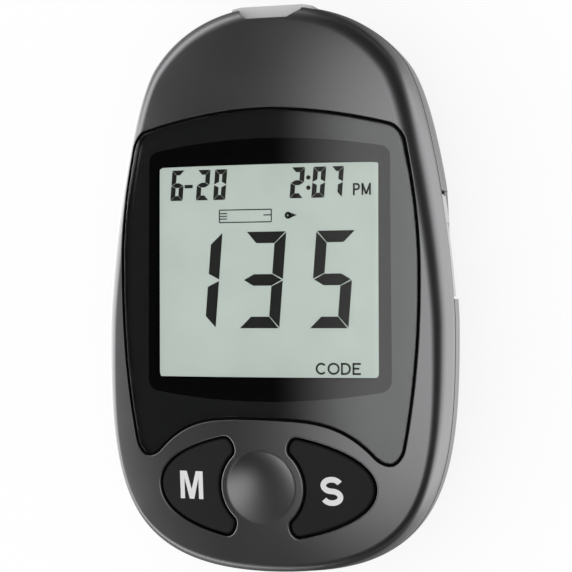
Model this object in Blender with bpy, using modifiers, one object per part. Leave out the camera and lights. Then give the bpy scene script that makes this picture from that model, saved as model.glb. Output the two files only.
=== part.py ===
"""Blood glucose meter with two keys, as it comes apart on a bench.

The meter lies on its back: X to the right of the display, Y towards the test strip port,
Z out of the display. The origin is under the middle of the body, on the flat of the back.
"""
import math

import bmesh
import bpy
from mathutils import Matrix, Vector

mm = 0.001
deg = math.pi / 180.0

# Driving dimensions of the body
body_width = 54.0 * mm
body_length = 85.0 * mm
body_depth = 20.5 * mm
split_share = 0.57317
split_gap = 0.1 * mm
outline_steps = (11, 12, 14)

# Plan outline, as shares of half the width and half the length
top_handle_share = 0.244
shoulder_place_shares = (0.711, 0.795)
shoulder_tangent = -52.0 * deg
shoulder_handle_shares = (0.202, 0.186)
widest_place_share = -0.141
side_handle_shares = (0.188, 0.555)
bottom_handle_share = 0.911

# Crown of the face and the shoulder that runs down to the split
crown_side_drop = 3.84 * mm
crown_end_drop = 2.8 * mm
crown_end_power = 4
wall_rise = 3.4 * mm
wall_draft = 8.0 * deg
shoulder_radius = 2.6 * mm
shoulder_edge_slope = 14.0 * deg
shoulder_steps = 5
crown_ring_shares = (0.9, 0.76, 0.6, 0.42, 0.22)
inner_shoulder_steps = 2
inner_ring_shares = (0.76, 0.42)
rim_chamfer = 0.14 * mm

# Shell thicknesses and the lip that locates the two shells
shell_wall = 1.8 * mm
shell_roof = 1.7 * mm
inner_shoulder_radius = 1.5 * mm
back_round_share = 0.4444
back_steps = 6
inner_back_steps = 3
lip_wall = 0.7 * mm
lip_rise = 0.9 * mm
lip_gap = 0.15 * mm

# Clearances and cutting overrun
seat_gap = 0.1 * mm
fit_gap = 0.3 * mm
overrun = 2.0 * mm
merge_distance = 0.001 * mm
smooth_angle = 32.0 * deg

# Display window lens, as a right half from its top to the arch over the keys, in shares of
# half the body's width and half its length
lens_top_share = 0.6129
lens_corner_shares = (0.6889, 0.5506)
lens_corner_end_shares = (0.7815, 0.4847)
lens_side_shares = (0.8519, 0.0706)
lens_lobe_shares = (0.763, -0.5412)
lens_lobe_low_shares = (0.6963, -0.5965)
lens_lobe_inner_shares = (0.6074, -0.5765)
lens_arch_share = -0.4459
lens_tangents = (-15.0 * deg, -80.0 * deg, -90.0 * deg, -101.0 * deg, -180.0 * deg, -214.0 * deg)
lens_steps = (5, 3, 4, 5, 3, 3, 6)
lens_handle_shares = (0.3, 0.25, 0.55, 0.35, 0.3, 0.36)
lens_thickness = 0.8 * mm
lens_groove = 0.42 * mm
lens_edge = 0.15 * mm
tape_thickness = 0.15 * mm
tape_gap = 0.08 * mm
tape_width = 1.0 * mm

# Display stack
display_centre_share = 0.0572
window_hole_shares = (0.7, 0.4212)
window_hole_radius = 1.5 * mm
window_margin = 0.7 * mm
glass_drop = 3.3 * mm
glass_thickness = 0.5 * mm
glass_shelf = 2.4 * mm
glass_bond = 0.05 * mm
reflector_inset = 0.6 * mm
reflector_thickness = 0.15 * mm
frame_rim = 1.6 * mm
frame_ledge = 1.6 * mm
frame_lip = 0.2 * mm
frame_bar = 2.0 * mm
frame_radius = 1.0 * mm
zebra_width = 1.6 * mm
zebra_end_gap = 1.0 * mm

# Keys and the dished thumb rest between them
key_centre_shares = (-0.0148, -0.6918)
key_reach_share = 0.6167
key_shoulder_shares = (0.2074, 0.1753)
key_slope = 12.0 * deg
key_waist_arc = 50.0 * deg
key_horn_handles = (1.0 * mm, 1.4 * mm)
key_side_handles = (5.5 * mm, 4.0 * mm)
key_sink = 0.25 * mm
key_edge = 0.35 * mm
key_gap = 0.35 * mm
key_lip = 0.4 * mm
key_flange = 0.8 * mm
key_flange_depth = 0.9 * mm
key_flange_gap = 0.3 * mm
key_stem_radius = 1.6 * mm
key_stem_share = 0.4074
key_ring_shares = (0.65, 0.3)
dish_radius = 5.35 * mm
dish_rim = 0.95 * mm
dish_depth = 1.15 * mm
dome_radius = 4.2 * mm
dome_height = 0.5 * mm
dome_sheet = 0.12 * mm

# Main board and what is soldered to it
board_rise = 1.05 * mm
board_thickness = 1.0 * mm
board_inset = 3.0 * mm
chip_size = (9.0 * mm, 9.0 * mm, 1.4 * mm)
chip_offset = 0.5 * mm
chip_place_share = 0.3882
memory_size = (5.0 * mm, 4.4 * mm, 1.5 * mm)
memory_offset = -8.5 * mm
memory_place_share = 0.1412
crystal_size = (2.6 * mm, 7.0 * mm, 1.8 * mm)
board_part_gap = 1.0 * mm
buzzer_radius = 4.6 * mm
buzzer_height = 3.2 * mm
buzzer_hole = 0.8 * mm
buzzer_place_share = 0.3765

# Test strip port, its connector and contacts
port_width = 12.6 * mm
port_depth_share = 0.1412
port_rise = 2.5 * mm
port_drop = 3.2 * mm
slot_width = 7.2 * mm
slot_height = 1.2 * mm
slot_rise = 0.7 * mm
mouth_width = 9.6 * mm
mouth_height = 2.6 * mm
mouth_depth = 2.6 * mm
notch_floor_width = 6.4 * mm
notch_width = 10.0 * mm
notch_floor_depth = 2.6 * mm
notch_corner_depth = 1.4 * mm
connector_width = 12.0 * mm
connector_front_share = 0.8235
connector_gap = 2.87 * mm
connector_stop = 1.0 * mm
connector_rise = 2.8 * mm
contact_width = 0.8 * mm
contact_thickness = 0.2 * mm
contact_pitch = 1.6 * mm
contact_count = 3
contact_channel_gap = 0.2 * mm
contact_middle = -1.0 * mm
contact_tail = 2.0 * mm
contact_riser = 0.4 * mm
contact_high_drop = 0.5 * mm
contact_spring_drop = 0.25 * mm
contact_toe = 1.2 * mm
contact_knee_share = 0.4
contact_tip_share = 0.62

# Strip ejector, a thumb slide in the back
ejector_pad = (9.0 * mm, 6.4 * mm, 1.2 * mm)
ejector_travel = 6.0 * mm
ejector_recess = 1.5 * mm
ejector_rise = 0.15 * mm
ejector_arm_width = 1.4 * mm
ejector_arm_length = 2.2 * mm
ejector_arm_offset = 3.0 * mm
ejector_arm_setback = 1.4 * mm
ejector_arm_lead = 2.0 * mm
ejector_arm_rise = 0.9 * mm
ejector_floor = 1.2 * mm
grip_rib = 0.5 * mm
grip_ribs = 3
grip_pitch = 1.4 * mm
grip_depth = 0.3 * mm

# Code chip and its socket in the right side
code_centre_share = 0.1482
code_slot = 16.0 * mm
code_floor_share = 0.5872
code_chip_width = 15.2 * mm
code_chip_setback = 0.75 * mm
code_roof = 0.6 * mm
code_wall = 1.0 * mm
code_bay_gap = 0.45 * mm
code_socket_setback = 7.6 * mm
code_tab_length = 4.0 * mm
code_tab_rise = 0.3 * mm

# Coin cell, its bay, contacts and cover
cell_radius = 10.0 * mm
cell_height = 3.2 * mm
cell_edge = 0.4 * mm
cell_cap_radius = 8.6 * mm
cell_cap_step = 0.3 * mm
cell_place_share = -0.3294
cell_gap = 0.4 * mm
cell_headroom = 0.7 * mm
cover_size = (24.0 * mm, 26.0 * mm)
cover_thickness = 1.4 * mm
cover_radius = 2.0 * mm
cover_gap = 0.3 * mm
cover_tongue = 1.4 * mm
cover_tongue_width = 4.0 * mm
cover_tongue_thickness = 0.8 * mm
cover_tongue_place = 7.0 * mm
cover_ledge = 1.1 * mm
cover_latch_width = 7.0 * mm
cover_latch_slot = 0.8 * mm
cover_latch_length = 5.0 * mm
bay_wall = 1.2 * mm
bay_roof = 1.2 * mm
cell_contact_width = 5.0 * mm
cell_contact_thickness = 0.2 * mm
cell_contact_reach = 6.0 * mm
cell_contact_bend = 3.0 * mm
cell_contact_bulge = 0.15 * mm
cell_contact_slot = 0.15 * mm

# Data jack in the lower end
jack_size = (7.0 * mm, 9.0 * mm, 4.6 * mm)
jack_bore = 1.8 * mm
jack_depth = 7.5 * mm
jack_opening_gap = 0.4 * mm
jack_setback = 4.4 * mm

# Screws and bosses
upper_boss_shares = (0.6, 0.6165)
lower_boss_shares = (0.735, -0.53)
boss_radius = 2.4 * mm
well_radius = 3.0 * mm
screw_radius = 1.0 * mm
screw_length_share = 0.439
screw_head_radius = 1.9 * mm
screw_head_height = 1.5 * mm
screw_seat_share = 0.5106
screw_hole_gap = 0.2 * mm
screw_pilot_gap = 0.08 * mm
screw_recess = 0.8 * mm
screw_slot = 0.5 * mm
boss_meet_drop = 2.15 * mm
screw_sides = 12
screw_head_shares = (0.7, 0.75)
screw_recess_share = 0.6
board_post_radius = 2.0 * mm
board_screw_radius = 0.8 * mm
board_screw_length = 3.4 * mm
board_screw_head_radius = 1.7 * mm
board_screw_head_height = 1.2 * mm
board_screw_shares = ((-0.4259, 0.7412), (0.4259, 0.7412), (0.0, -0.4847))

half_width = body_width / 2
half_length = body_length / 2


def in_plan(shares):
    """A place in plan from its shares of half the width and half the length."""
    return (half_width * shares[0], half_length * shares[1])


# Places that follow from the body
split_height = body_depth * split_share
back_round = half_width * back_round_share
lens_top = half_length * lens_top_share
lens_arch = half_length * lens_arch_share
lens_corner = in_plan(lens_corner_shares)
lens_corner_end = in_plan(lens_corner_end_shares)
lens_side = in_plan(lens_side_shares)
lens_lobe = in_plan(lens_lobe_shares)
lens_lobe_low = in_plan(lens_lobe_low_shares)
lens_lobe_inner = in_plan(lens_lobe_inner_shares)
display_centre = half_length * display_centre_share
window_hole = (body_width * window_hole_shares[0], body_length * window_hole_shares[1])
glass_size = (window_hole[0] - 2 * window_margin, window_hole[1] - 2 * window_margin)
glass_top = body_depth - glass_drop
frame_end = display_centre + glass_size[1] / 2 + fit_gap + frame_rim
key_centre = in_plan(key_centre_shares)
key_reach = half_width * key_reach_share
key_shoulder = in_plan(key_shoulder_shares)
key_waist = dish_radius + dish_rim
key_stem_place = half_width * key_stem_share
board_top = split_height + board_rise
port_depth = half_length * port_depth_share
port_top = board_top + port_rise
port_bottom = board_top - port_drop
slot_floor = board_top + slot_rise
connector_place = frame_end + connector_gap
connector_front = half_length * connector_front_share
connector_top = board_top + connector_rise
ejector_arm_place = (ejector_arm_offset, connector_place - ejector_arm_setback)
ejector_arm_top = slot_floor + ejector_arm_rise
ejector_place = ejector_arm_place[1] - ejector_arm_lead
chip_place = (chip_offset, half_length * chip_place_share)
memory_place = (memory_offset, half_length * memory_place_share)
crystal_x = chip_offset - chip_size[0] / 2 - board_part_gap - crystal_size[0] / 2
crystal_place = (crystal_x, chip_place[1])
buzzer_x = crystal_x - crystal_size[0] / 2 - board_part_gap - buzzer_radius
buzzer_place = (buzzer_x, half_length * buzzer_place_share)
cell_place = half_length * cell_place_share
bay_half_width = cover_size[0] / 2 + cover_gap + bay_wall
bay_half_length = cover_size[1] / 2 + cover_gap + bay_wall
code_centre = half_length * code_centre_share
code_floor = split_height * code_floor_share
code_socket_in = bay_half_width + code_bay_gap
code_socket_out = half_width - code_socket_setback
jack_opening = jack_bore + jack_opening_gap
upper_boss = in_plan(upper_boss_shares)
lower_boss = in_plan(lower_boss_shares)
board_screw_places = [in_plan(shares) for shares in board_screw_shares]
screw_seat = split_height * screw_seat_share
screw_length = body_depth * screw_length_share
boss_meet = split_height - boss_meet_drop


# Collections, materials and the making of objects
def clear_scene():
    for item in list(bpy.data.objects):
        bpy.data.objects.remove(item, do_unlink=True)


def make_collection(name):
    collection = bpy.data.collections.new(name)
    bpy.context.scene.collection.children.link(collection)
    return collection


clear_scene()
pieces = make_collection("blood_glucose_meter")
cutters = make_collection("cutters")


def make_material(name, colour, roughness, metallic=0.0):
    material = bpy.data.materials.new(name)
    material.use_nodes = True
    shader = material.node_tree.nodes["Principled BSDF"]
    shader.inputs["Base Color"].default_value = (*colour, 1.0)
    shader.inputs["Roughness"].default_value = roughness
    shader.inputs["Metallic"].default_value = metallic
    return material


graphite = make_material("graphite_shell", (0.075, 0.075, 0.078), 0.38, 0.4)
smoked = make_material("smoked_window", (0.02, 0.02, 0.022), 0.08)
key_black = make_material("key_black", (0.016, 0.016, 0.017), 0.5)
port_grey = make_material("port_grey", (0.62, 0.62, 0.63), 0.45)
glass_green = make_material("display_glass", (0.5, 0.56, 0.52), 0.15)
board_green = make_material("board_green", (0.03, 0.16, 0.07), 0.5)
inner_black = make_material("inner_black", (0.03, 0.03, 0.03), 0.55)
inner_white = make_material("inner_white", (0.75, 0.75, 0.72), 0.5)
rubber_grey = make_material("rubber_grey", (0.25, 0.25, 0.26), 0.8)
steel = make_material("steel", (0.6, 0.6, 0.58), 0.3, 1.0)
gold = make_material("gold_plate", (0.85, 0.6, 0.25), 0.3, 1.0)
tape_white = make_material("tape_white", (0.8, 0.8, 0.78), 0.6)


def add_object(name, mesh_data, material, origin):
    """Turn a bmesh in world places into an object whose origin lies at the given point."""
    bmesh.ops.recalc_face_normals(mesh_data, faces=mesh_data.faces)
    bmesh.ops.translate(mesh_data, verts=mesh_data.verts, vec=-Vector(origin))
    mesh = bpy.data.meshes.new(name)
    mesh_data.to_mesh(mesh)
    mesh_data.free()
    item = bpy.data.objects.new(name, mesh)
    item.location = origin
    if material:
        mesh.materials.append(material)
        mesh.shade_smooth()
        mesh.set_sharp_from_angle(angle=smooth_angle)
    return item


def piece(name, mesh_data, material, origin=(0, 0, 0)):
    item = add_object(name, mesh_data, material, origin)
    pieces.objects.link(item)
    return item


def tool(name, mesh_data):
    item = add_object(name, mesh_data, None, (0, 0, 0))
    item.hide_render = True
    item.display_type = "WIRE"
    cutters.objects.link(item)
    return item


def combine(target, item, operation):
    change = target.modifiers.new(item.name, "BOOLEAN")
    change.operation = operation
    change.object = item


def cut(target, *items):
    for item in items:
        combine(target, item, "DIFFERENCE")


def join(target, *items):
    for item in items:
        combine(target, item, "UNION")


# Outlines
def heading(angle):
    return Vector((math.cos(angle), math.sin(angle)))


def run_through(knots):
    """Smooth run through knots of (place, heading, handle in, handle out, steps to the next)."""
    points = [Vector(knots[0][0])]
    for start, end in zip(knots, knots[1:]):
        a = Vector(start[0])
        d = Vector(end[0])
        b = a + heading(start[1]) * start[3]
        c = d - heading(end[1]) * end[2]
        for step in range(1, start[4] + 1):
            t = step / start[4]
            s = 1 - t
            points.append(a * s**3 + b * (3 * s * s * t) + c * (3 * s * t * t) + d * t**3)
    return points


def both_sides(half):
    return half + [Vector((-p.x, p.y)) for p in reversed(half[1:-1])]


def inset(loop, depth):
    """Move a clockwise closed loop inwards along its normals."""
    moved = []
    count = len(loop)
    for i, point in enumerate(loop):
        tangent = (loop[(i + 1) % count] - loop[i - 1]).normalized()
        moved.append(point - Vector((-tangent.y, tangent.x)) * depth)
    return moved


def body_outline():
    shoulder = (half_width * shoulder_place_shares[0], half_length * shoulder_place_shares[1])
    widest = (half_width, half_length * widest_place_share)
    handles = [half_length * share for share in shoulder_handle_shares + side_handle_shares]
    knots = [
        ((0, half_length), 0, 0, half_width * top_handle_share, outline_steps[0]),
        (shoulder, shoulder_tangent, handles[0], handles[1], outline_steps[1]),
        (widest, -90 * deg, handles[2], handles[3], outline_steps[2]),
        ((0, -half_length), -180 * deg, half_width * bottom_handle_share, 0, 0),
    ]
    return both_sides(run_through(knots))


def span(a, b):
    return (Vector(a) - Vector(b)).length


def lens_outline():
    top = (0, lens_top)
    arch = (0, lens_arch)
    crest, corner, side, lobe, curl, vault = lens_handle_shares
    runs = [
        span(top, lens_corner) * crest,
        span(lens_corner, lens_corner_end) * corner,
        span(lens_corner_end, lens_side) * side,
        span(lens_side, lens_lobe) * lobe,
        span(lens_lobe, lens_lobe_low) * curl,
        span(lens_lobe_low, lens_lobe_inner) * curl,
        span(lens_lobe_inner, arch) * vault,
    ]
    turns = lens_tangents
    steps = lens_steps
    knots = [
        (top, 0, 0, runs[0], steps[0]),
        (lens_corner, turns[0], runs[0], runs[1], steps[1]),
        (lens_corner_end, turns[1], runs[1], runs[2] / 2, steps[2]),
        (lens_side, turns[2], runs[2], runs[3], steps[3]),
        (lens_lobe, turns[3], runs[3], runs[4], steps[4]),
        (lens_lobe_low, turns[4], runs[4], runs[5], steps[5]),
        (lens_lobe_inner, turns[5], runs[5], runs[6], steps[6]),
        (arch, turns[4], runs[6], 0, 0),
    ]
    return both_sides(run_through(knots))


def key_outline(side):
    """One key, with a hollow side that follows the thumb dish, right for side 1, left for -1."""
    arc = [Vector((key_waist, 0))]
    arc_steps = 4
    for step in range(1, arc_steps + 1):
        arc.append(heading(key_waist_arc * step / arc_steps) * key_waist)
    knots = [
        (tuple(arc[-1]), key_waist_arc + 90 * deg, 0, key_horn_handles[0], 4),
        (key_shoulder, -key_slope, key_horn_handles[1], key_side_handles[0], 8),
        ((key_reach, 0), -90 * deg, key_side_handles[1], 0, 0),
    ]
    upper = arc + run_through(knots)[1:]
    lower = [Vector((p.x, -p.y)) for p in reversed(upper[1:-1])]
    loop = [Vector((key_centre[0] + side * p.x, key_centre[1] + p.y)) for p in upper + lower]
    return loop if side > 0 else loop[::-1]


def circle(centre, radius, count=20):
    step = -360 * deg / count
    return [Vector(centre[:2]) + heading(step * i) * radius for i in range(count)]


def rounded_rectangle(size, radius, centre=(0, 0), steps=3):
    loop = []
    for turn, (sx, sy) in enumerate(((1, 1), (1, -1), (-1, -1), (-1, 1))):
        hub = Vector((centre[0] + sx * (size[0] / 2 - radius), centre[1] + sy * (size[1] / 2 - radius)))
        for step in range(steps + 1):
            loop.append(hub + heading(90 * deg * (1 - turn - step / steps)) * radius)
    return loop


outline = body_outline()


# Heights of the domed face and the rounded back
def crown(x, y):
    side_drop = crown_side_drop * (x / half_width) ** 2
    end_drop = crown_end_drop * (abs(y) / half_length) ** crown_end_power
    return body_depth - side_drop - end_drop


def under_crown(depth):
    return lambda x, y: crown(x, y) - depth


def level(height):
    return lambda x, y: height


def edge_distance(x, y):
    """Distance in plan from a point inside the body to its outline."""
    place = Vector((x, y))
    nearest = body_length
    for i, a in enumerate(outline):
        run = a - outline[i - 1]
        share = max(0, min(1, (place - outline[i - 1]).dot(run) / run.length_squared))
        nearest = min(nearest, (outline[i - 1] + run * share - place).length)
    return nearest


def back_surface(depth):
    def height(x, y):
        inward = min(1, edge_distance(x, y) / back_round)
        return split_height * (1 - math.sqrt(1 - (1 - inward) ** 2)) + depth
    return height


# Solids
def lofted(rings, closed=False, data=None):
    """Skin a row of equal rings, and cap its ends unless it closes on itself."""
    data = data or bmesh.new()
    rows = [[data.verts.new(p) for p in ring] for ring in rings]
    pairs = list(zip(rows, rows[1:]))
    if closed:
        pairs.append((rows[-1], rows[0]))
    for low, high in pairs:
        for i in range(len(low)):
            data.faces.new((low[i - 1], low[i], high[i], high[i - 1]))
    if not closed:
        data.faces.new(rows[0])
        data.faces.new(rows[-1])
    return data


def raised(loop, height):
    return [Vector((p.x, p.y, height(p.x, p.y))) for p in loop]


def scaled(loop, share, centre):
    hub = Vector(centre)
    return [hub + (p - hub) * share for p in loop]


def plate(loop, low, high, centre, shares=(), edge=0, data=None):
    """Solid between two heights over a loop, with inner rings where a face is domed."""
    inner = [scaled(loop, share, centre) for share in shares]
    rings = [raised(ring, low) for ring in reversed(inner)]
    rings.append(raised(loop, low))
    if edge:
        rings.append(raised(loop, lambda x, y: high(x, y) - edge))
        rings.append(raised(inset(loop, edge), high))
    else:
        rings.append(raised(loop, high))
    rings += [raised(ring, high) for ring in inner]
    return lofted(rings, data=data)


def prism(loop, low, high, data=None):
    return lofted([raised(loop, level(low)), raised(loop, level(high))], data=data)


def box(low, high, data=None):
    data = data or bmesh.new()
    a = Vector(low)
    b = Vector(high)
    bmesh.ops.create_cube(data, size=1, matrix=Matrix.LocRotScale((a + b) / 2, None, b - a))
    return data


def boxes(ends):
    data = bmesh.new()
    for low, high in ends:
        box(low, high, data)
    return data


def rod(base, radius, length, count=20, data=None, axis="Z"):
    """Upright cylinder from its base, or one that lies along Y."""
    data = data or bmesh.new()
    turn = Matrix.Rotation(-90 * deg, 4, "X") if axis == "Y" else Matrix.Identity(4)
    place = Matrix.Translation(base) @ turn @ Matrix.Translation((0, 0, length / 2))
    bmesh.ops.create_cone(data, cap_ends=True, cap_tris=False, segments=count, radius1=radius,
                          radius2=radius, depth=length, matrix=place)
    return data


def side_profile(points, x_low, x_high, data=None):
    """Solid whose outline is drawn in the YZ plane and runs along X."""
    return lofted([[Vector((x, y, z)) for y, z in points] for x in (x_low, x_high)], data=data)


def turned(name, profile, place, material, steps=24):
    """Round piece from a profile of (radius, height) that runs down its outer side."""
    data = bmesh.new()
    verts = [data.verts.new((radius, 0, height)) for radius, height in profile]
    for a, b in zip(verts, verts[1:]):
        data.edges.new((a, b))
    mesh = bpy.data.meshes.new(name)
    data.to_mesh(mesh)
    data.free()
    mesh.materials.append(material)
    item = bpy.data.objects.new(name, mesh)
    item.location = place
    pieces.objects.link(item)
    spin = item.modifiers.new("turn", "SCREW")
    spin.steps = steps
    spin.render_steps = steps
    spin.use_merge_vertices = True
    spin.merge_threshold = merge_distance
    return item


def bent_strip(name, points, width, thickness, centre, along, material):
    """Spring strip bent through (run, height) points, along X or Y, thickened evenly."""
    data = bmesh.new()
    rows = []
    for run, height in points:
        side = width / 2
        ends = ((run, centre - side), (run, centre + side))
        if along == "Y":
            ends = [(b, a) for a, b in ends]
        rows.append([data.verts.new((x, y, height)) for x, y in ends])
    for low, high in zip(rows, rows[1:]):
        data.faces.new((low[0], low[1], high[1], high[0]))
    item = piece(name, data, material)
    skin = item.modifiers.new("thickness", "SOLIDIFY")
    skin.thickness = thickness
    skin.offset = 0
    skin.use_even_offset = True
    return item


# Heights that the stacks share
board_low = board_top - board_thickness
under_board = board_low - seat_gap
on_board = board_top + seat_gap
glass_low = glass_top - glass_thickness
rear_glass_top = glass_low - glass_bond
rear_glass_low = rear_glass_top - glass_thickness
reflector_top = rear_glass_low - glass_bond
reflector_low = reflector_top - reflector_thickness
frame_seat = reflector_low - seat_gap
dome_top = on_board + dome_height
cell_low = cover_thickness + seat_gap + cell_gap
cell_top = cell_low + cell_height
bay_ceiling = cell_top + cell_headroom
bay_top = bay_ceiling + bay_roof
above = body_depth + overrun
pocket_depth = lens_thickness + tape_thickness + 2 * tape_gap
screw_places = [(sx * x, y) for x, y in (upper_boss, lower_boss) for sx in (1, -1)]


# The two shells
def shoulder_profile(start, radius, steps):
    """Pairs of inset and rise from the split up the wall and round the shoulder."""
    steep = 90 * deg - wall_draft
    foot = start + wall_rise * math.tan(wall_draft)
    pairs = [(foot, wall_rise)]
    for step in range(1, steps + 1):
        slope = steep + (shoulder_edge_slope - steep) * step / steps
        run = radius * (math.sin(steep) - math.sin(slope))
        rise = radius * (math.cos(slope) - math.cos(steep))
        pairs.append((foot + run, wall_rise + rise))
    return pairs


def domed_rings(start, radius, roof, steps, shares):
    """Rings from the top of the wall over the shoulder and in across the crown."""
    pairs = shoulder_profile(start, radius, steps)
    edge = inset(outline, pairs[-1][0])
    rings = []
    for depth, rise in pairs:
        ring = []
        for point, last in zip(inset(outline, depth), edge):
            reach = crown(last.x, last.y) - roof - split_height
            ring.append(Vector((point.x, point.y, split_height + reach * rise / pairs[-1][1])))
        rings.append(ring)
    for share in shares:
        rings.append(raised(scaled(edge, share, (0, 0)), under_crown(roof)))
    return rings


def ring_at(depth, height):
    return raised(inset(outline, depth), level(height))


def under_ring(depth, height):
    """Ring of the rounded back, drawn in towards the middle so that it never folds."""
    across = 1 - depth / half_width
    along = 1 - depth / half_length
    return raised([Vector((p.x * across, p.y * along)) for p in outline], level(height))


def front_housing():
    recess = shell_wall - lip_wall - lip_gap
    step = split_height + lip_rise + lip_gap
    rings = domed_rings(0, shoulder_radius, 0, shoulder_steps, crown_ring_shares)[::-1]
    rings += [ring_at(0, split_height + rim_chamfer), ring_at(rim_chamfer, split_height)]
    rings += [ring_at(recess, split_height), ring_at(recess, step), ring_at(shell_wall, step)]
    rings += domed_rings(shell_wall, inner_shoulder_radius, shell_roof, inner_shoulder_steps,
                         inner_ring_shares)
    item = piece("front_housing", lofted(rings), graphite)
    posts = bmesh.new()
    pilots = bmesh.new()
    for x, y in screw_places:
        loop = circle((x, y), boss_radius)
        foot = level(boss_meet + seat_gap)
        lofted([raised(loop, foot), raised(loop, under_crown(shell_roof / 2))], data=posts)
        rod((x, y, boss_meet - overrun), screw_radius + screw_pilot_gap,
            screw_seat + screw_length + fit_gap - boss_meet + overrun, data=pilots)
    for x, y in board_screw_places:
        loop = circle((x, y), board_post_radius)
        lofted([raised(loop, level(on_board)), raised(loop, under_crown(shell_roof / 2))], data=posts)
        rod((x, y, board_low), board_screw_radius + screw_pilot_gap,
            board_screw_length + fit_gap, data=pilots)
    join(item, tool("front_posts", posts))
    lens = lens_outline()
    middle = (0, display_centre)
    pocket = plate(inset(lens, -lens_groove), under_crown(pocket_depth), level(above), middle,
                   (0.8, 0.55))
    hole = rounded_rectangle(window_hole, window_hole_radius, middle)
    keys = bmesh.new()
    for side in (1, -1):
        loop = key_outline(side)
        fit = inset(loop, -key_gap)
        flare = inset(loop, -key_gap - key_lip)
        lofted([raised(fit, under_crown(shell_roof + overrun)), raised(fit, under_crown(key_lip)),
                raised(flare, under_crown(0)), raised(flare, level(above))], data=keys)
    dish = bmesh.new()
    ball = (dish_radius**2 + dish_depth**2) / (2 * dish_depth)
    seat = crown(*key_centre) - dish_depth + ball
    bmesh.ops.create_uvsphere(dish, u_segments=36, v_segments=44, radius=ball,
                              matrix=Matrix.Translation((*key_centre, seat)))
    half = notch_floor_width / 2
    side_x = notch_width / 2
    side_y = half_length - notch_corner_depth
    notch_floor = half_length - notch_floor_depth
    beyond = half_length + overrun
    notch = [Vector(p) for p in ((-half, notch_floor), (-side_x, side_y), (-side_x, beyond),
                                 (side_x, beyond), (side_x, side_y), (half, notch_floor))]
    mouth_side = port_width / 2 + fit_gap
    mouth_back = half_length - port_depth - fit_gap
    mouth = box((-mouth_side, mouth_back, split_height - overrun), (mouth_side, beyond, port_top + fit_gap))
    cut(item, tool("lens_pocket", pocket), tool("window_hole", prism(hole, board_top, above)),
        tool("key_holes", keys), tool("thumb_dish", dish),
        tool("port_notch", prism(notch, port_top, above)), tool("front_port_mouth", mouth),
        tool("front_pilots", pilots))
    return item


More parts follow.
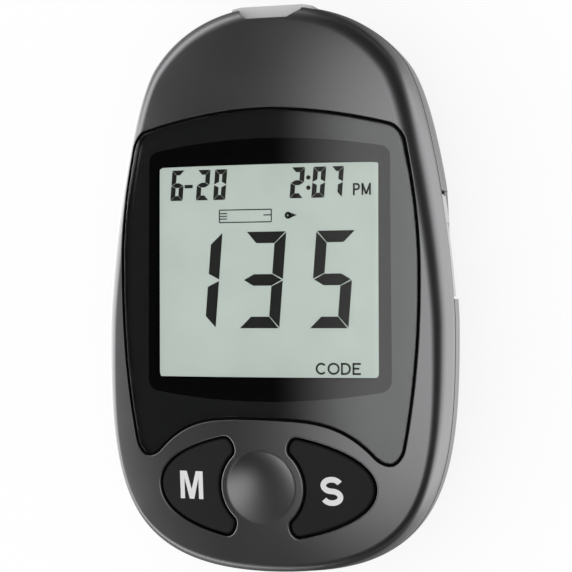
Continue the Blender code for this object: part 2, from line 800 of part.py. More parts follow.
def back_housing():
    floor_rings = []
    for step in range(1, inner_back_steps + 1):
        turn = 90 * deg * step / inner_back_steps
        depth = shell_wall + (back_round - shell_wall) * (1 - math.cos(turn))
        height = split_height - (split_height - shell_wall) * math.sin(turn)
        floor_rings.append(under_ring(depth, height))
    wall_rings = []
    for step in range(1, back_steps + 1):
        turn = 90 * deg * step / back_steps
        depth = back_round * (1 - math.cos(turn))
        wall_rings.append(under_ring(depth, split_height * (1 - math.sin(turn))))
    seam = split_height - split_gap
    lip_outer = shell_wall - lip_wall
    rim = [ring_at(shell_wall, split_height + lip_rise), ring_at(lip_outer, split_height + lip_rise),
           ring_at(lip_outer, seam), ring_at(rim_chamfer, seam), ring_at(0, seam - rim_chamfer)]
    item = piece("back_housing", lofted(floor_rings[::-1] + rim + wall_rings), graphite)

    inside = shell_wall / 2
    bay_block = box((-bay_half_width, cell_place - bay_half_length, inside),
                    (bay_half_width, cell_place + bay_half_length, bay_top))
    slide_x = ejector_pad[0] / 2 + fit_gap
    slide_low = ejector_place - ejector_pad[1] / 2 - fit_gap
    slide_high = ejector_place + ejector_pad[1] / 2 + ejector_travel + fit_gap
    slide_block = box((-slide_x - ejector_floor, slide_low - ejector_floor, inside),
                      (slide_x + ejector_floor, slide_high + ejector_floor, ejector_recess + ejector_floor))
    well_walls = bmesh.new()
    wells = bmesh.new()
    for x, y in screw_places:
        loop = circle((x, y), well_radius)
        lofted([raised(loop, back_surface(inside)), raised(loop, level(boss_meet))], data=well_walls)
        rod((x, y, -overrun), screw_head_radius + fit_gap, screw_seat + overrun, data=wells)
    join(item, tool("bay_block", bay_block), tool("slide_block", slide_block),
         tool("well_walls", well_walls))
    shanks = bmesh.new()
    for x, y in screw_places:
        rod((x, y, 0), screw_radius + screw_hole_gap, split_height, data=shanks)

    opening = rounded_rectangle((cover_size[0] + 2 * cover_gap, cover_size[1] + 2 * cover_gap),
                                cover_radius, (0, cell_place))
    inner_x = cover_size[0] / 2 - cover_ledge
    inner_y = cover_size[1] / 2 - cover_ledge
    bay = box((-inner_x, cell_place - inner_y, 0), (inner_x, cell_place + inner_y, bay_ceiling))
    hinge_y = cell_place - cover_size[1] / 2
    tongue_y = hinge_y - cover_tongue - cover_gap
    tongue_low = cover_thickness + seat_gap + cover_gap
    pockets = bmesh.new()
    for sx in (-1, 1):
        middle_x = sx * cover_tongue_place
        wide = cover_tongue_width / 2 + cover_gap
        profile = ((hinge_y + cover_ledge + seat_gap, cover_thickness), (hinge_y - cover_gap, cover_thickness),
                   (hinge_y - cover_gap, tongue_low), (tongue_y, tongue_low),
                   (tongue_y, tongue_low + 2 * cover_tongue_thickness + seat_gap),
                   (hinge_y + cover_ledge + seat_gap, tongue_low + 2 * cover_tongue_thickness + seat_gap))
        side_profile(profile, middle_x - wide, middle_x + wide, data=pockets)
    tails = bmesh.new()
    slot = cell_contact_width / 2 + cell_contact_slot
    thick = cell_contact_thickness / 2 + cell_contact_slot
    minus_y = cell_place + inner_y - fit_gap - thick
    plus_x = -inner_x + fit_gap + thick
    box((-slot, minus_y - thick, bay_ceiling - fit_gap), (slot, minus_y + thick, bay_top + overrun), tails)
    box((plus_x - thick, cell_place - slot, bay_ceiling - fit_gap),
        (plus_x + thick, cell_place + slot, bay_top + overrun), tails)
    recess = box((-slide_x, slide_low, -overrun), (slide_x, slide_high, ejector_recess))
    arm_x, arm_y = ejector_arm_place
    arm_side = ejector_arm_width / 2 + fit_gap
    arm_half = ejector_arm_length / 2 + fit_gap
    arm_slot = box((arm_x - arm_side, arm_y - arm_half, ejector_recess - fit_gap),
                   (arm_x + arm_side, arm_y + arm_half + ejector_travel, board_low))
    above_lip = split_height + lip_rise + overrun
    port_side = port_width / 2 + fit_gap
    port_back = half_length - port_depth - fit_gap
    port = box((-port_side, port_back, port_bottom - fit_gap), (port_side, half_length + overrun, above_lip))
    code = box((code_socket_out, code_centre - code_slot / 2, code_floor),
               (half_width + overrun, code_centre + code_slot / 2, above_lip))
    jack_z = under_board - jack_size[2] / 2
    jack = rod((0, -half_length - overrun, jack_z), jack_opening, overrun + jack_setback, axis="Y")
    cut(item, tool("screw_wells", wells), tool("screw_holes", shanks),
        tool("cover_opening", prism(opening, -overrun, cover_thickness + seat_gap)),
        tool("cell_bay", bay), tool("tongue_pockets", pockets), tool("contact_slots", tails),
        tool("ejector_recess", recess), tool("ejector_slot", arm_slot), tool("back_port_mouth", port),
        tool("code_slot", code), tool("jack_hole", jack))
    return item


# Window lens, its tape and the display
def window_lens():
    return piece("window_lens", plate(lens_outline(), under_crown(lens_thickness), under_crown(0),
                                      (0, display_centre), (0.75, 0.5, 0.25), lens_edge), smoked)


def window_tape():
    outer = inset(lens_outline(), fit_gap)
    inner = inset(lens_outline(), fit_gap + tape_width)
    high = under_crown(lens_thickness + tape_gap)
    low = under_crown(lens_thickness + tape_gap + tape_thickness)
    rings = [raised(outer, low), raised(outer, high), raised(inner, high), raised(inner, low)]
    return piece("window_tape", lofted(rings, closed=True), tape_white)


def display_plate(name, size, low, high, material):
    half_x = size[0] / 2
    half_y = size[1] / 2
    ends = ((-half_x, display_centre - half_y, low), (half_x, display_centre + half_y, high))
    return piece(name, box(*ends), material)


def display():
    rear = (glass_size[0], glass_size[1] - 2 * glass_shelf)
    mirror = (rear[0] - 2 * reflector_inset, rear[1] - 2 * reflector_inset)
    display_plate("lcd_front_glass", glass_size, glass_low, glass_top, glass_green)
    display_plate("lcd_rear_glass", rear, rear_glass_low, rear_glass_top, glass_green)
    display_plate("lcd_reflector", mirror, reflector_low, reflector_top, inner_white)
    middle = (0, display_centre)
    pocket = (glass_size[0] + 2 * fit_gap, glass_size[1] + 2 * fit_gap)
    outer = (pocket[0] + 2 * frame_rim, pocket[1] + 2 * frame_rim)
    frame = piece("lcd_frame", prism(rounded_rectangle(outer, frame_radius, middle), on_board,
                                     frame_seat + frame_lip), inner_white)
    centre_x = mirror[0] / 2 - frame_ledge
    centre_y = mirror[1] / 2 - frame_bar
    zebra_y = (glass_size[1] - glass_shelf) / 2
    zebra_x = glass_size[0] / 2 - zebra_end_gap
    openings = [((-centre_x, display_centre - centre_y, on_board - overrun),
                 (centre_x, display_centre + centre_y, glass_top))]
    for name, sy in (("zebra_strip_upper", 1), ("zebra_strip_lower", -1)):
        middle_y = display_centre + sy * zebra_y
        half_y = zebra_width / 2
        piece(name, box((-zebra_x, middle_y - half_y, on_board),
                        (zebra_x, middle_y + half_y, glass_low - seat_gap)), rubber_grey)
        openings.append(((-zebra_x - seat_gap, middle_y - half_y - seat_gap, on_board - overrun),
                         (zebra_x + seat_gap, middle_y + half_y + seat_gap, glass_top)))
    cut(frame, tool("frame_pocket", prism(rounded_rectangle(pocket, frame_radius, middle), frame_seat,
                                          glass_top)), tool("frame_openings", boxes(openings)))


# Keys and their snap domes
def key(name, side):
    loop = key_outline(side)
    wide = inset(loop, -key_flange)
    hub = (key_centre[0] + side * key_stem_place, key_centre[1])
    flange_top = shell_roof + key_flange_gap
    low = under_crown(flange_top + key_flange_depth)
    top = under_crown(key_sink)
    rings = [raised(scaled(wide, 0.5, hub), low), raised(wide, low),
             raised(wide, under_crown(flange_top)), raised(loop, under_crown(flange_top)),
             raised(loop, under_crown(key_sink + key_edge)),
             raised(inset(loop, key_edge / 3), under_crown(key_sink + key_edge / 3)),
             raised(inset(loop, key_edge), top)]
    rings += [raised(scaled(loop, share, hub), top) for share in key_ring_shares]
    item = piece(name, lofted(rings), key_black, (*hub, dome_top))
    foot = dome_top + seat_gap
    stem = rod((*hub, foot), key_stem_radius, crown(*hub) - flange_top - foot, 16)
    join(item, tool(name + "_stem", stem))
    return item


def snap_dome(name, side):
    arc_steps = 3
    inner_radius = dome_radius - 2 * dome_sheet
    profile = []
    for step in range(arc_steps + 1):
        s = step / arc_steps
        profile.append((dome_radius * s, dome_height * (1 - s * s)))
    for step in range(arc_steps, -1, -1):
        s = step / arc_steps
        profile.append((inner_radius * s, (dome_height - dome_sheet) * (1 - s * s)))
    place = (key_centre[0] + side * key_stem_place, key_centre[1], on_board)
    return turned(name, profile, place, steel, 16)


# Main board and the pieces on it
def main_board():
    item = piece("main_board", prism(inset(outline, board_inset), board_low, board_top), board_green)
    holes = bmesh.new()
    for x, y in screw_places:
        rod((x, y, board_low - overrun), boss_radius + fit_gap, board_thickness + 2 * overrun, data=holes)
    for x, y in board_screw_places:
        rod((x, y, board_low - overrun), board_screw_radius + screw_hole_gap,
            board_thickness + 2 * overrun, 16, holes)
    arm_x, arm_y = ejector_arm_place
    side = ejector_arm_width / 2 + fit_gap
    half = ejector_arm_length / 2 + fit_gap
    box((arm_x - side, arm_y - half, board_low - overrun),
        (arm_x + side, arm_y + half + ejector_travel, board_top + overrun), holes)
    port_side = port_width / 2 + fit_gap
    box((-port_side, half_length - port_depth - fit_gap, board_low - overrun),
        (port_side, half_length, board_top + overrun), holes)
    cut(item, tool("board_holes", holes))
    return item


def under_board_block(name, size, place, material):
    half_x = size[0] / 2
    half_y = size[1] / 2
    return piece(name, box((place[0] - half_x, place[1] - half_y, under_board - size[2]),
                           (place[0] + half_x, place[1] + half_y, under_board)), material)


def buzzer():
    profile = ((0, 0), (buzzer_radius, 0), (buzzer_radius, -buzzer_height), (buzzer_hole, -buzzer_height),
               (buzzer_hole, -buzzer_height / 2), (0, -buzzer_height / 2))
    return turned("buzzer", profile, (*buzzer_place, under_board), inner_black)


# Strip port, connector and contacts
def strip_port():
    half = port_width / 2
    item = piece("strip_port", box((-half, half_length - port_depth, port_bottom),
                                   (half, half_length + overrun, port_top)), port_grey)
    trim = tool("port_trim", prism(outline, port_bottom - overrun, port_top + overrun))
    combine(item, trim, "INTERSECT")
    slot_side = slot_width / 2
    slot = box((-slot_side, half_length - port_depth - overrun, slot_floor),
               (slot_side, half_length + overrun, slot_floor + slot_height))
    rings = []
    middle_z = slot_floor + slot_height / 2
    for y, width, height in ((half_length, mouth_width, mouth_height),
                             (half_length - mouth_depth, slot_width, slot_height)):
        corners = ((-1, -1), (1, -1), (1, 1), (-1, 1))
        rings.append([Vector((sx * width / 2, y, middle_z + sz * height / 2)) for sx, sz in corners])
    cut(item, tool("strip_slot", slot), tool("strip_mouth", lofted(rings)))
    return item


def strip_connector():
    half = connector_width / 2
    rear = connector_place
    front = connector_front
    length = front - rear
    item = piece("strip_connector", box((-half, rear, on_board), (half, front, connector_top)), inner_black)
    slot_side = slot_width / 2
    slot_top = slot_floor + slot_height
    slot = box((-slot_side, rear + connector_stop, slot_floor), (slot_side, front + overrun, slot_top))
    arm_x, arm_y = ejector_arm_place
    side = ejector_arm_width / 2 + fit_gap
    reach = arm_y + ejector_arm_length / 2 + ejector_travel + fit_gap
    channel = box((arm_x - side, rear - overrun, board_top), (arm_x + side, reach, slot_top))
    channels = bmesh.new()
    for i in range(contact_count):
        x = contact_middle + (i - (contact_count - 1) / 2) * contact_pitch
        side = contact_width / 2 + contact_channel_gap
        box((x - side, rear - overrun, slot_top - contact_spring_drop - contact_thickness),
            (x + side, front - connector_stop, connector_top + overrun), channels)
        high = connector_top - contact_high_drop
        low = on_board + contact_thickness / 2
        tip = rear + length * contact_tip_share
        points = ((rear - contact_tail, low), (rear - contact_riser - seat_gap - contact_thickness, low),
                  (rear - contact_riser, high), (rear + length * contact_knee_share, high),
                  (tip, slot_top - contact_spring_drop), (tip + contact_toe, slot_top + contact_thickness))
        bent_strip("strip_contact_%d" % (i + 1), points, contact_width, contact_thickness, x, "Y", gold)
    cut(item, tool("connector_slot", slot), tool("ejector_channel", channel),
        tool("contact_channels", channels))
    return item


def strip_ejector():
    half_x = ejector_pad[0] / 2
    half_y = ejector_pad[1] / 2
    top = ejector_rise + ejector_pad[2]
    arm_x, arm_y = ejector_arm_place
    origin = (0, ejector_place, ejector_rise)
    item = piece("strip_ejector", box((-half_x, ejector_place - half_y, ejector_rise),
                                      (half_x, ejector_place + half_y, top)), key_black, origin)
    arm = box((arm_x - ejector_arm_width / 2, arm_y - ejector_arm_length / 2, ejector_rise + grip_rib),
              (arm_x + ejector_arm_width / 2, arm_y + ejector_arm_length / 2, ejector_arm_top))
    grooves = bmesh.new()
    for i in range(grip_ribs):
        y = ejector_place + (i - (grip_ribs - 1) / 2) * grip_pitch
        box((-half_x - overrun, y - grip_rib / 2, -overrun),
            (half_x + overrun, y + grip_rib / 2, ejector_rise + grip_depth), grooves)
    join(item, tool("ejector_arm", arm))
    cut(item, tool("grip_grooves", grooves))
    return item


# Code chip and socket
def code_pieces():
    chip_low = code_floor + fit_gap
    chip_top = under_board - code_roof - fit_gap
    chip_side = code_chip_width / 2
    outer = half_width - code_chip_setback
    chip_in = code_socket_in + code_wall + fit_gap
    origin = (outer, code_centre, (chip_low + chip_top) / 2)
    chip = piece("code_chip", box((chip_in, code_centre - chip_side, chip_low),
                                  (half_width, code_centre + chip_side, chip_top)), inner_white, origin)
    trim = prism(inset(outline, code_chip_setback), chip_low - overrun, chip_top + overrun)
    combine(chip, tool("chip_trim", trim), "INTERSECT")
    tab_high = code_centre + chip_side - fit_gap
    tab = box((outer - 2 * code_wall, tab_high - code_tab_length, chip_low + fit_gap),
              (half_width, tab_high, chip_top - fit_gap))
    tab_piece = tool("chip_tab", tab)
    tab_trim = prism(inset(outline, code_chip_setback - code_tab_rise), chip_low - overrun, chip_top + overrun)
    combine(tab_piece, tool("chip_tab_trim", tab_trim), "INTERSECT")
    join(chip, tab_piece)
    socket_side = chip_side + fit_gap + code_wall
    socket_low = chip_low - fit_gap - code_wall
    socket = piece("code_chip_socket", box((code_socket_in, code_centre - socket_side, socket_low),
                                           (code_socket_out, code_centre + socket_side, under_board)),
                   inner_black)
    cut(socket, tool("socket_bore", box((chip_in - fit_gap, code_centre - chip_side - fit_gap, chip_low - fit_gap),
                                        (half_width, code_centre + chip_side + fit_gap, chip_top + fit_gap))))


# Coin cell, its contacts and cover
def cell_pieces():
    profile = ((0, cell_height), (cell_cap_radius, cell_height), (cell_cap_radius, cell_height - cell_cap_step),
               (cell_radius - cell_edge, cell_height - cell_cap_step),
               (cell_radius, cell_height - cell_cap_step - cell_edge), (cell_radius, cell_edge),
               (cell_radius - cell_edge, 0), (0, 0))
    turned("coin_cell", profile, (0, cell_place, cell_low), steel, 36)
    inner_x = cover_size[0] / 2 - cover_ledge
    inner_y = cover_size[1] / 2 - cover_ledge
    thick = cell_contact_thickness / 2 + cell_contact_slot
    minus_y = cell_place + inner_y - fit_gap - thick
    plus_x = -inner_x + fit_gap + thick
    touch = cell_top + seat_gap + cell_contact_thickness / 2
    rest = bay_ceiling - seat_gap - cell_contact_thickness / 2
    minus = ((cell_place - cell_contact_reach, touch), (cell_place - cell_contact_bend, touch),
             (cell_place, rest), (minus_y, rest), (minus_y, under_board))
    bent_strip("battery_contact_negative", minus, cell_contact_width, cell_contact_thickness, 0, "Y", steel)
    middle = (cell_low + cell_top) / 2
    plus = ((plus_x, cell_low), (plus_x + cell_contact_bulge, middle), (plus_x, cell_top),
            (plus_x, under_board))
    bent_strip("battery_contact_positive", plus, cell_contact_width, cell_contact_thickness, cell_place,
               "X", steel)


def battery_cover():
    hinge_y = cell_place - cover_size[1] / 2
    free_y = cell_place + cover_size[1] / 2
    loop = rounded_rectangle(cover_size, cover_radius, (0, cell_place))
    item = piece("battery_cover", prism(loop, 0, cover_thickness), graphite, (0, hinge_y, 0))
    low = cover_thickness + 2 * seat_gap + cover_gap
    high = low + cover_tongue_thickness
    tongues = bmesh.new()
    for sx in (-1, 1):
        profile = ((hinge_y + cover_ledge, cover_thickness / 2), (hinge_y + seat_gap, cover_thickness / 2),
                   (hinge_y + seat_gap, low), (hinge_y - cover_tongue, low),
                   (hinge_y - cover_tongue, high), (hinge_y + cover_ledge, high))
        middle = sx * cover_tongue_place
        side_profile(profile, middle - cover_tongue_width / 2, middle + cover_tongue_width / 2, data=tongues)
    join(item, tool("cover_tongues", tongues))
    slots = bmesh.new()
    for sx in (-1, 1):
        middle = sx * (cover_latch_width + cover_latch_slot) / 2
        box((middle - cover_latch_slot / 2, free_y - cover_latch_length, -overrun),
            (middle + cover_latch_slot / 2, free_y + overrun, cover_thickness + overrun), slots)
    cut(item, tool("cover_slots", slots))
    return item


def data_jack():
    front = -half_length + jack_setback
    low = under_board - jack_size[2]
    item = piece("data_jack", box((-jack_size[0] / 2, front, low),
                                  (jack_size[0] / 2, front + jack_size[1], under_board)), inner_black)
    bore = rod((0, front - overrun, (low + under_board) / 2), jack_bore, jack_depth + overrun, axis="Y")
    cut(item, tool("jack_bore", bore))
    return item


# Screws
def screw(name, place, radius, length, head_radius, head_height):
    """Screw with its head down and a cross recess, its origin on the seat under the head."""
    rim, flat = screw_head_shares
    profile = ((0, length), (radius, length - radius / 2), (radius, 0), (head_radius, 0),
               (head_radius, -head_height * rim), (head_radius * flat, -head_height), (0, -head_height))
    item = turned(name, profile, place, steel, screw_sides)
    arm = head_radius * screw_recess_share
    slot = screw_slot / 2
    loop = [Vector(p) for p in ((slot, slot), (slot, arm), (-slot, arm), (-slot, slot), (-arm, slot),
                                (-arm, -slot), (-slot, -slot), (-slot, -arm), (slot, -arm), (slot, -slot),
                                (arm, -slot), (arm, slot))]
    data = prism(loop, -head_height - overrun, -head_height + screw_recess)
    recess = tool(name + "_recess", data)
    recess.location = place
    cut(item, recess)
    return item


def screws():
    for i, (x, y) in enumerate(screw_places):
        screw("housing_screw_%d" % (i + 1), (x, y, screw_seat - seat_gap), screw_radius, screw_length,
              screw_head_radius, screw_head_height)
    for i, (x, y) in enumerate(board_screw_places):
        screw("board_screw_%d" % (i + 1), (x, y, under_board), board_screw_radius, board_screw_length,
              board_screw_head_radius, board_screw_head_height)


front_housing()
back_housing()
window_lens()
window_tape()
display()
key("m_button", -1)
key("s_button", 1)
snap_dome("m_dome", -1)
snap_dome("s_dome", 1)
main_board()
under_board_block("microcontroller", chip_size, chip_place, inner_black)
under_board_block("memory_chip", memory_size, memory_place, inner_black)
under_board_block("clock_crystal", crystal_size, crystal_place, steel)
buzzer()
strip_port()
strip_connector()
strip_ejector()
code_pieces()
cell_pieces()
battery_cover()
data_jack()
screws()
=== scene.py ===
# %% [markdown]
# A blood glucose meter, dressed for its portrait.
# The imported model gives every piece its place. This file gives the pieces their finish, and
# makes the moulded shells, the window, the keys and the display again with finer meshes.

# %% Load the frame
import math

import bmesh
import bpy
import numpy as np
from mathutils import Matrix, Vector
from mathutils.kdtree import KDTree


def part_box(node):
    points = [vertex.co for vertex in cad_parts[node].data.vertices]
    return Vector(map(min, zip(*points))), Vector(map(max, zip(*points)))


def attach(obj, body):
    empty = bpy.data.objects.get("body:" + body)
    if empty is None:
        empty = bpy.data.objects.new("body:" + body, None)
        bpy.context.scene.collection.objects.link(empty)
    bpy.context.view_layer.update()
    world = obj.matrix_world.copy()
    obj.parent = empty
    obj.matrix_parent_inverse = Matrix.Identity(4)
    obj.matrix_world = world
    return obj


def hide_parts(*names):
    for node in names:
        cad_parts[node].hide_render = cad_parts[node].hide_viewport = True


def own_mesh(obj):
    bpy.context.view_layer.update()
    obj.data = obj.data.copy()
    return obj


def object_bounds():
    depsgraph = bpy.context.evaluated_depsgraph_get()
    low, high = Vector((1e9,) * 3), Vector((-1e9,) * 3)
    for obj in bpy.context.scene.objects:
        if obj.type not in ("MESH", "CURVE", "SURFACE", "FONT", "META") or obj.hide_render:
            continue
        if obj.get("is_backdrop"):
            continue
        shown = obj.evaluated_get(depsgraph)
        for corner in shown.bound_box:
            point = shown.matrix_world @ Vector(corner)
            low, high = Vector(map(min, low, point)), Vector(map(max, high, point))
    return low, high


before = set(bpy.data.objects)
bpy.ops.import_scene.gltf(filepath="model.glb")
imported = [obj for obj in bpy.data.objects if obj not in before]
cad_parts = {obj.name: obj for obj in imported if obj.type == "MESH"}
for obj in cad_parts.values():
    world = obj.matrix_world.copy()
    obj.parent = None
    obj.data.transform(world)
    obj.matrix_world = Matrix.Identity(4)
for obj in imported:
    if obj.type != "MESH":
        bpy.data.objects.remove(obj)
cad_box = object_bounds()
mm = 0.001
deg = math.pi / 180
shell_points, key_points = 320, 160

body_low, body_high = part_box("front_housing")
half_width = body_high.x
half_length = -body_low.y
split_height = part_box("back_housing")[1].z - 0.9 * mm
print("half width and length in mm:", round(half_width / mm, 2), round(half_length / mm, 2))

# %% [markdown]
# The outline is one smooth run of curves for the right side, mirrored for the left.
# A run is drawn through knots: each has a place, a heading and a handle on either side, so
# the same few numbers give as many points as a smooth render needs.


# %% Curves in plan
def heading(angle):
    return np.array((math.cos(angle), math.sin(angle)))


def run_through(knots, steps=60):
    """Dense points along curves through knots of (place, heading, handle in, handle out)."""
    points = [np.array(knots[0][0])[None]]
    t = (np.arange(steps) + 1)[:, None] / steps
    for start, end in zip(knots, knots[1:]):
        a, d = np.array(start[0]), np.array(end[0])
        b = a + heading(start[1]) * start[3]
        c = d - heading(end[1]) * end[2]
        s = 1 - t
        points.append(a * s**3 + b * 3 * s * s * t + c * 3 * s * t * t + d * t**3)
    return np.concatenate(points)


def both_sides(half):
    return np.concatenate([half, (half * (-1, 1))[-2:0:-1]])


def even(loop, count):
    """The same closed loop with its points at even steps along it."""
    closed = np.concatenate([loop, loop[:1]])
    run = np.concatenate([[0], np.cumsum(np.linalg.norm(np.diff(closed, axis=0), axis=1))])
    at = np.arange(count) * run[-1] / count
    return np.stack([np.interp(at, run, closed[:, i]) for i in (0, 1)], axis=1)


def inset(loop, depth):
    """Move a clockwise loop inwards along its normals, or outwards for a depth below zero.

    The depth is one number, or one for each point.
    """
    tangent = np.roll(loop, -1, axis=0) - np.roll(loop, 1, axis=0)
    tangent /= np.linalg.norm(tangent, axis=1)[:, None]
    return loop - np.stack([-tangent[:, 1], tangent[:, 0]], axis=1) * np.reshape(depth, (-1, 1))


def span(a, b):
    return math.dist(a, b)


def body_outline(count):
    shoulder = (half_width * 0.711, half_length * 0.795)
    widest = (half_width, half_length * -0.141)
    handles = [half_length * share for share in (0.202, 0.186, 0.188, 0.555)]
    knots = [((0, half_length), 0, 0, half_width * 0.244),
             (shoulder, -52 * deg, handles[0], handles[1]),
             (widest, -90 * deg, handles[2], handles[3]),
             ((0, -half_length), -180 * deg, half_width * 0.911, 0)]
    return even(both_sides(run_through(knots)), count)


def lens_outline(count):
    top, corner, corner_end = (0, 26.05 * mm), (19.05 * mm, 23.35 * mm), (20.85 * mm, 21.2 * mm)
    side, lobe, lobe_low = (22.8 * mm, 3 * mm), (20.45 * mm, -23 * mm), (18.75 * mm, -25.05 * mm)
    lobe_inner, arch = (16.85 * mm, -24.2 * mm), (0, -18.95 * mm)
    runs = [span(top, corner) * 0.3, span(corner, corner_end) * 0.25,
            span(corner_end, side) * 0.45, span(side, lobe) * 0.35,
            span(lobe, lobe_low) * 0.3, span(lobe_low, lobe_inner) * 0.3,
            span(lobe_inner, arch) * 0.41]
    knots = [(top, 0, 0, runs[0]), (corner, -15 * deg, runs[0], runs[1]),
             (corner_end, -80 * deg, runs[1], runs[2] / 2), (side, -90 * deg, runs[2], runs[3]),
             (lobe, -101 * deg, runs[3], runs[4]), (lobe_low, -180 * deg, runs[4], runs[5]),
             (lobe_inner, -227 * deg, runs[5], runs[6]), (arch, -180 * deg, runs[6], 0)]
    loop = even(both_sides(run_through(knots)), count)
    rise = np.clip((loop[:, 1] + 14 * mm) / (28 * mm), 0, 1)
    fall = np.clip((-12 * mm - loop[:, 1]) / (8 * mm), 0, 1)
    return loop - np.column_stack([0.2 * mm * rise, 0.021 * loop[:, 0] * fall])


key_hub = np.array((-0.45 * mm, -29.25 * mm))


def key_outline(side, count):
    """A key with a hollow side round the thumb dish, right for side 1 and left for side -1."""
    waist, arc = (6.4 + 0.15 * side) * mm, 47 * deg
    hollow = np.array([heading(arc * step / 12) * waist for step in range(13)])
    knots = [(hollow[-1], arc + 90 * deg, 0, 1 * mm),
             ((5.9 * mm, 7.4 * mm), -12 * deg, 1.5 * mm, 5.2 * mm),
             (((16.75 + 0.45 * side) * mm, 0), -90 * deg, 4 * mm, 0)]
    upper = np.concatenate([hollow, run_through(knots)[1:]])
    loop = np.concatenate([upper, (upper * (1, -1))[-2:0:-1]]) * (side, 1) + key_hub
    return even(loop if side > 0 else loop[::-1], count)


outline = body_outline(shell_points)
print("length of the outline in mm:", round(sum(map(span, outline, np.roll(outline, 1, 0))) / mm))

# %% [markdown]
# The face is a shallow dome, round from side to side and dropping a little towards both ends.
# Near its rim it rolls over into the side wall, in a bend that grows softer towards the top end.
# The window and the keys follow the same face, so one function gives the height of all three.
# The roll depends on how far a point is from the outline, which a search tree finds quickly.

# %% The dome and the skin between rings
side_drop, end_drop = 3.84 * mm, 2.8 * mm
top_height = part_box("window_lens")[1].z
wall_inset, full_roll = 0.62 * mm, 0.955
places_along = np.array((-42, -34, -16, 4, 20, 32, 42)) * mm
bend_radii = np.array((1.4, 1.25, 1.85, 2.4, 2.95, 2.8, 2.5)) * mm
bend_depths = (1.0, 1.5, 1.5, 1.4, 1.35, 1.15, 0.75)

edge_tree = KDTree(2400)
for number, (x, y) in enumerate(body_outline(2400)):
    edge_tree.insert((x, y, 0), number)
edge_tree.balance()


def bend_radius(loop):
    return np.interp(loop[:, 1], places_along, bend_radii)


def crown(loop):
    """Height of the face over each point in plan."""
    across = side_drop * (loop[:, 0] / half_width) ** 2
    dome = top_height - across - end_drop * (loop[:, 1] / half_length) ** 4
    radius = bend_radius(loop)
    rim = np.array([edge_tree.find((x, y, 0))[2] for x, y in loop[:, :2]])
    into = np.clip(wall_inset + full_roll * radius - rim, 0, full_roll * radius)
    depth = np.interp(loop[:, 1], places_along, bend_depths)
    return dome - depth * (radius - np.sqrt(radius**2 - into**2))


def crown_normals(points):
    step = 0.02 * mm
    slopes = [(crown(points + way) - crown(points - way)) / (2 * step)
              for way in (np.array((step, 0, 0)), np.array((0, step, 0)))]
    return [Vector((-a, -b, 1)).normalized() for a, b in zip(*slopes)]


def ring(loop, height):
    """A loop lifted to one height, or to a height for each of its points."""
    return np.column_stack([loop, np.broadcast_to(height, len(loop))])


def skin(name, rings, closed=False):
    """A mesh object through a row of equal rings, capped unless the row closes on itself."""
    count = len(rings[0])
    rows = len(rings)
    faces = []
    for i in range(rows if closed else rows - 1):
        j = (i + 1) % rows
        for k in range(count):
            m = (k + 1) % count
            faces.append((i * count + k, j * count + k, j * count + m, i * count + m))
    if not closed:
        faces += [tuple(range(count)), tuple(range(rows * count - 1, (rows - 1) * count - 1, -1))]
    return solid(name, np.concatenate(rings), faces)


def solid(name, points, faces):
    mesh = bpy.data.meshes.new(name)
    mesh.from_pydata([tuple(p) for p in points], [], faces)
    work = bmesh.new()
    work.from_mesh(mesh)
    bmesh.ops.recalc_face_normals(work, faces=work.faces)
    work.to_mesh(mesh)
    work.free()
    item = bpy.data.objects.new(name, mesh)
    bpy.context.scene.collection.objects.link(item)
    return item


def block(name, low, high):
    points = [(x, y, z) for z in (low[2], high[2]) for y in (low[1], high[1]) for x in (low[0], high[0])]
    faces = [(0, 2, 3, 1), (4, 5, 7, 6), (0, 1, 5, 4), (2, 6, 7, 3), (0, 4, 6, 2), (1, 3, 7, 5)]
    return solid(name, points, faces)


def plug(name, loop, low, high):
    return skin(name, [ring(loop, low), ring(loop, high)])


def round_loop(centre, radius, count=64):
    angle = -2 * math.pi * np.arange(count) / count
    return np.column_stack([centre[0] + radius * np.cos(angle), centre[1] + radius * np.sin(angle)])


def rounded_loop(low, high, radius, steps=8):
    """A rectangle in plan between two corners, with round corners, clockwise."""
    (left, lower), (right, upper) = low, high
    loop = []
    for turn, (x, y) in enumerate(((right, upper), (right, lower), (left, lower), (left, upper))):
        hub = np.array((x, y)) - radius * np.sign((x - (left + right) / 2, y - (lower + upper) / 2))
        loop += [hub + radius * heading(90 * deg * (1 - turn - s / steps)) for s in range(steps + 1)]
    return np.array(loop)


def combine(item, others, operation="DIFFERENCE"):
    """Apply Booleans with other solids, which are used up."""
    for other in others:
        change = item.modifiers.new(other.name, "BOOLEAN")
        change.operation = operation
        change.object = other
        change.solver = "EXACT"
    graph = bpy.context.evaluated_depsgraph_get()
    mesh = bpy.data.meshes.new_from_object(item.evaluated_get(graph))
    item.modifiers.clear()
    item.data = mesh
    for other in others:
        bpy.data.objects.remove(other)
    return item


def settle(item, angle=30, follow_crown=False):
    """Smooth shading with sharp edges kept, and the dome's own normals where a face lies on it."""
    mesh = item.data
    mesh.shade_smooth()
    mesh.set_sharp_from_angle(angle=angle * deg)
    if follow_crown:
        points = np.array([v.co for v in mesh.vertices])
        on_dome = np.abs(points[:, 2] - crown(points)) < 3e-6
        ideal = crown_normals(points)
        normals = [Vector(n.vector) for n in mesh.corner_normals]
        for face in mesh.polygons:
            if face.normal.z < 0.9:
                continue
            for corner in face.loop_indices:
                v = mesh.loops[corner].vertex_index
                if on_dome[v]:
                    normals[corner] = ideal[v]
        mesh.normals_split_custom_set(normals)
    return item


def finish_piece(item, material, body="housing", replaced=(), shade_finish=None):
    """Give a piece its finish and its body. Faces marked 1 take the painted shade finish."""
    marks = [face.material_index for face in item.data.polygons]
    item.data.materials.clear()
    item.data.materials.append(material)
    if shade_finish:
        item.data.materials.append(shade_finish)
        item.data.polygons.foreach_set("material_index", marks)
    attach(item, body)
    if replaced:
        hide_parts(*replaced)
    return item


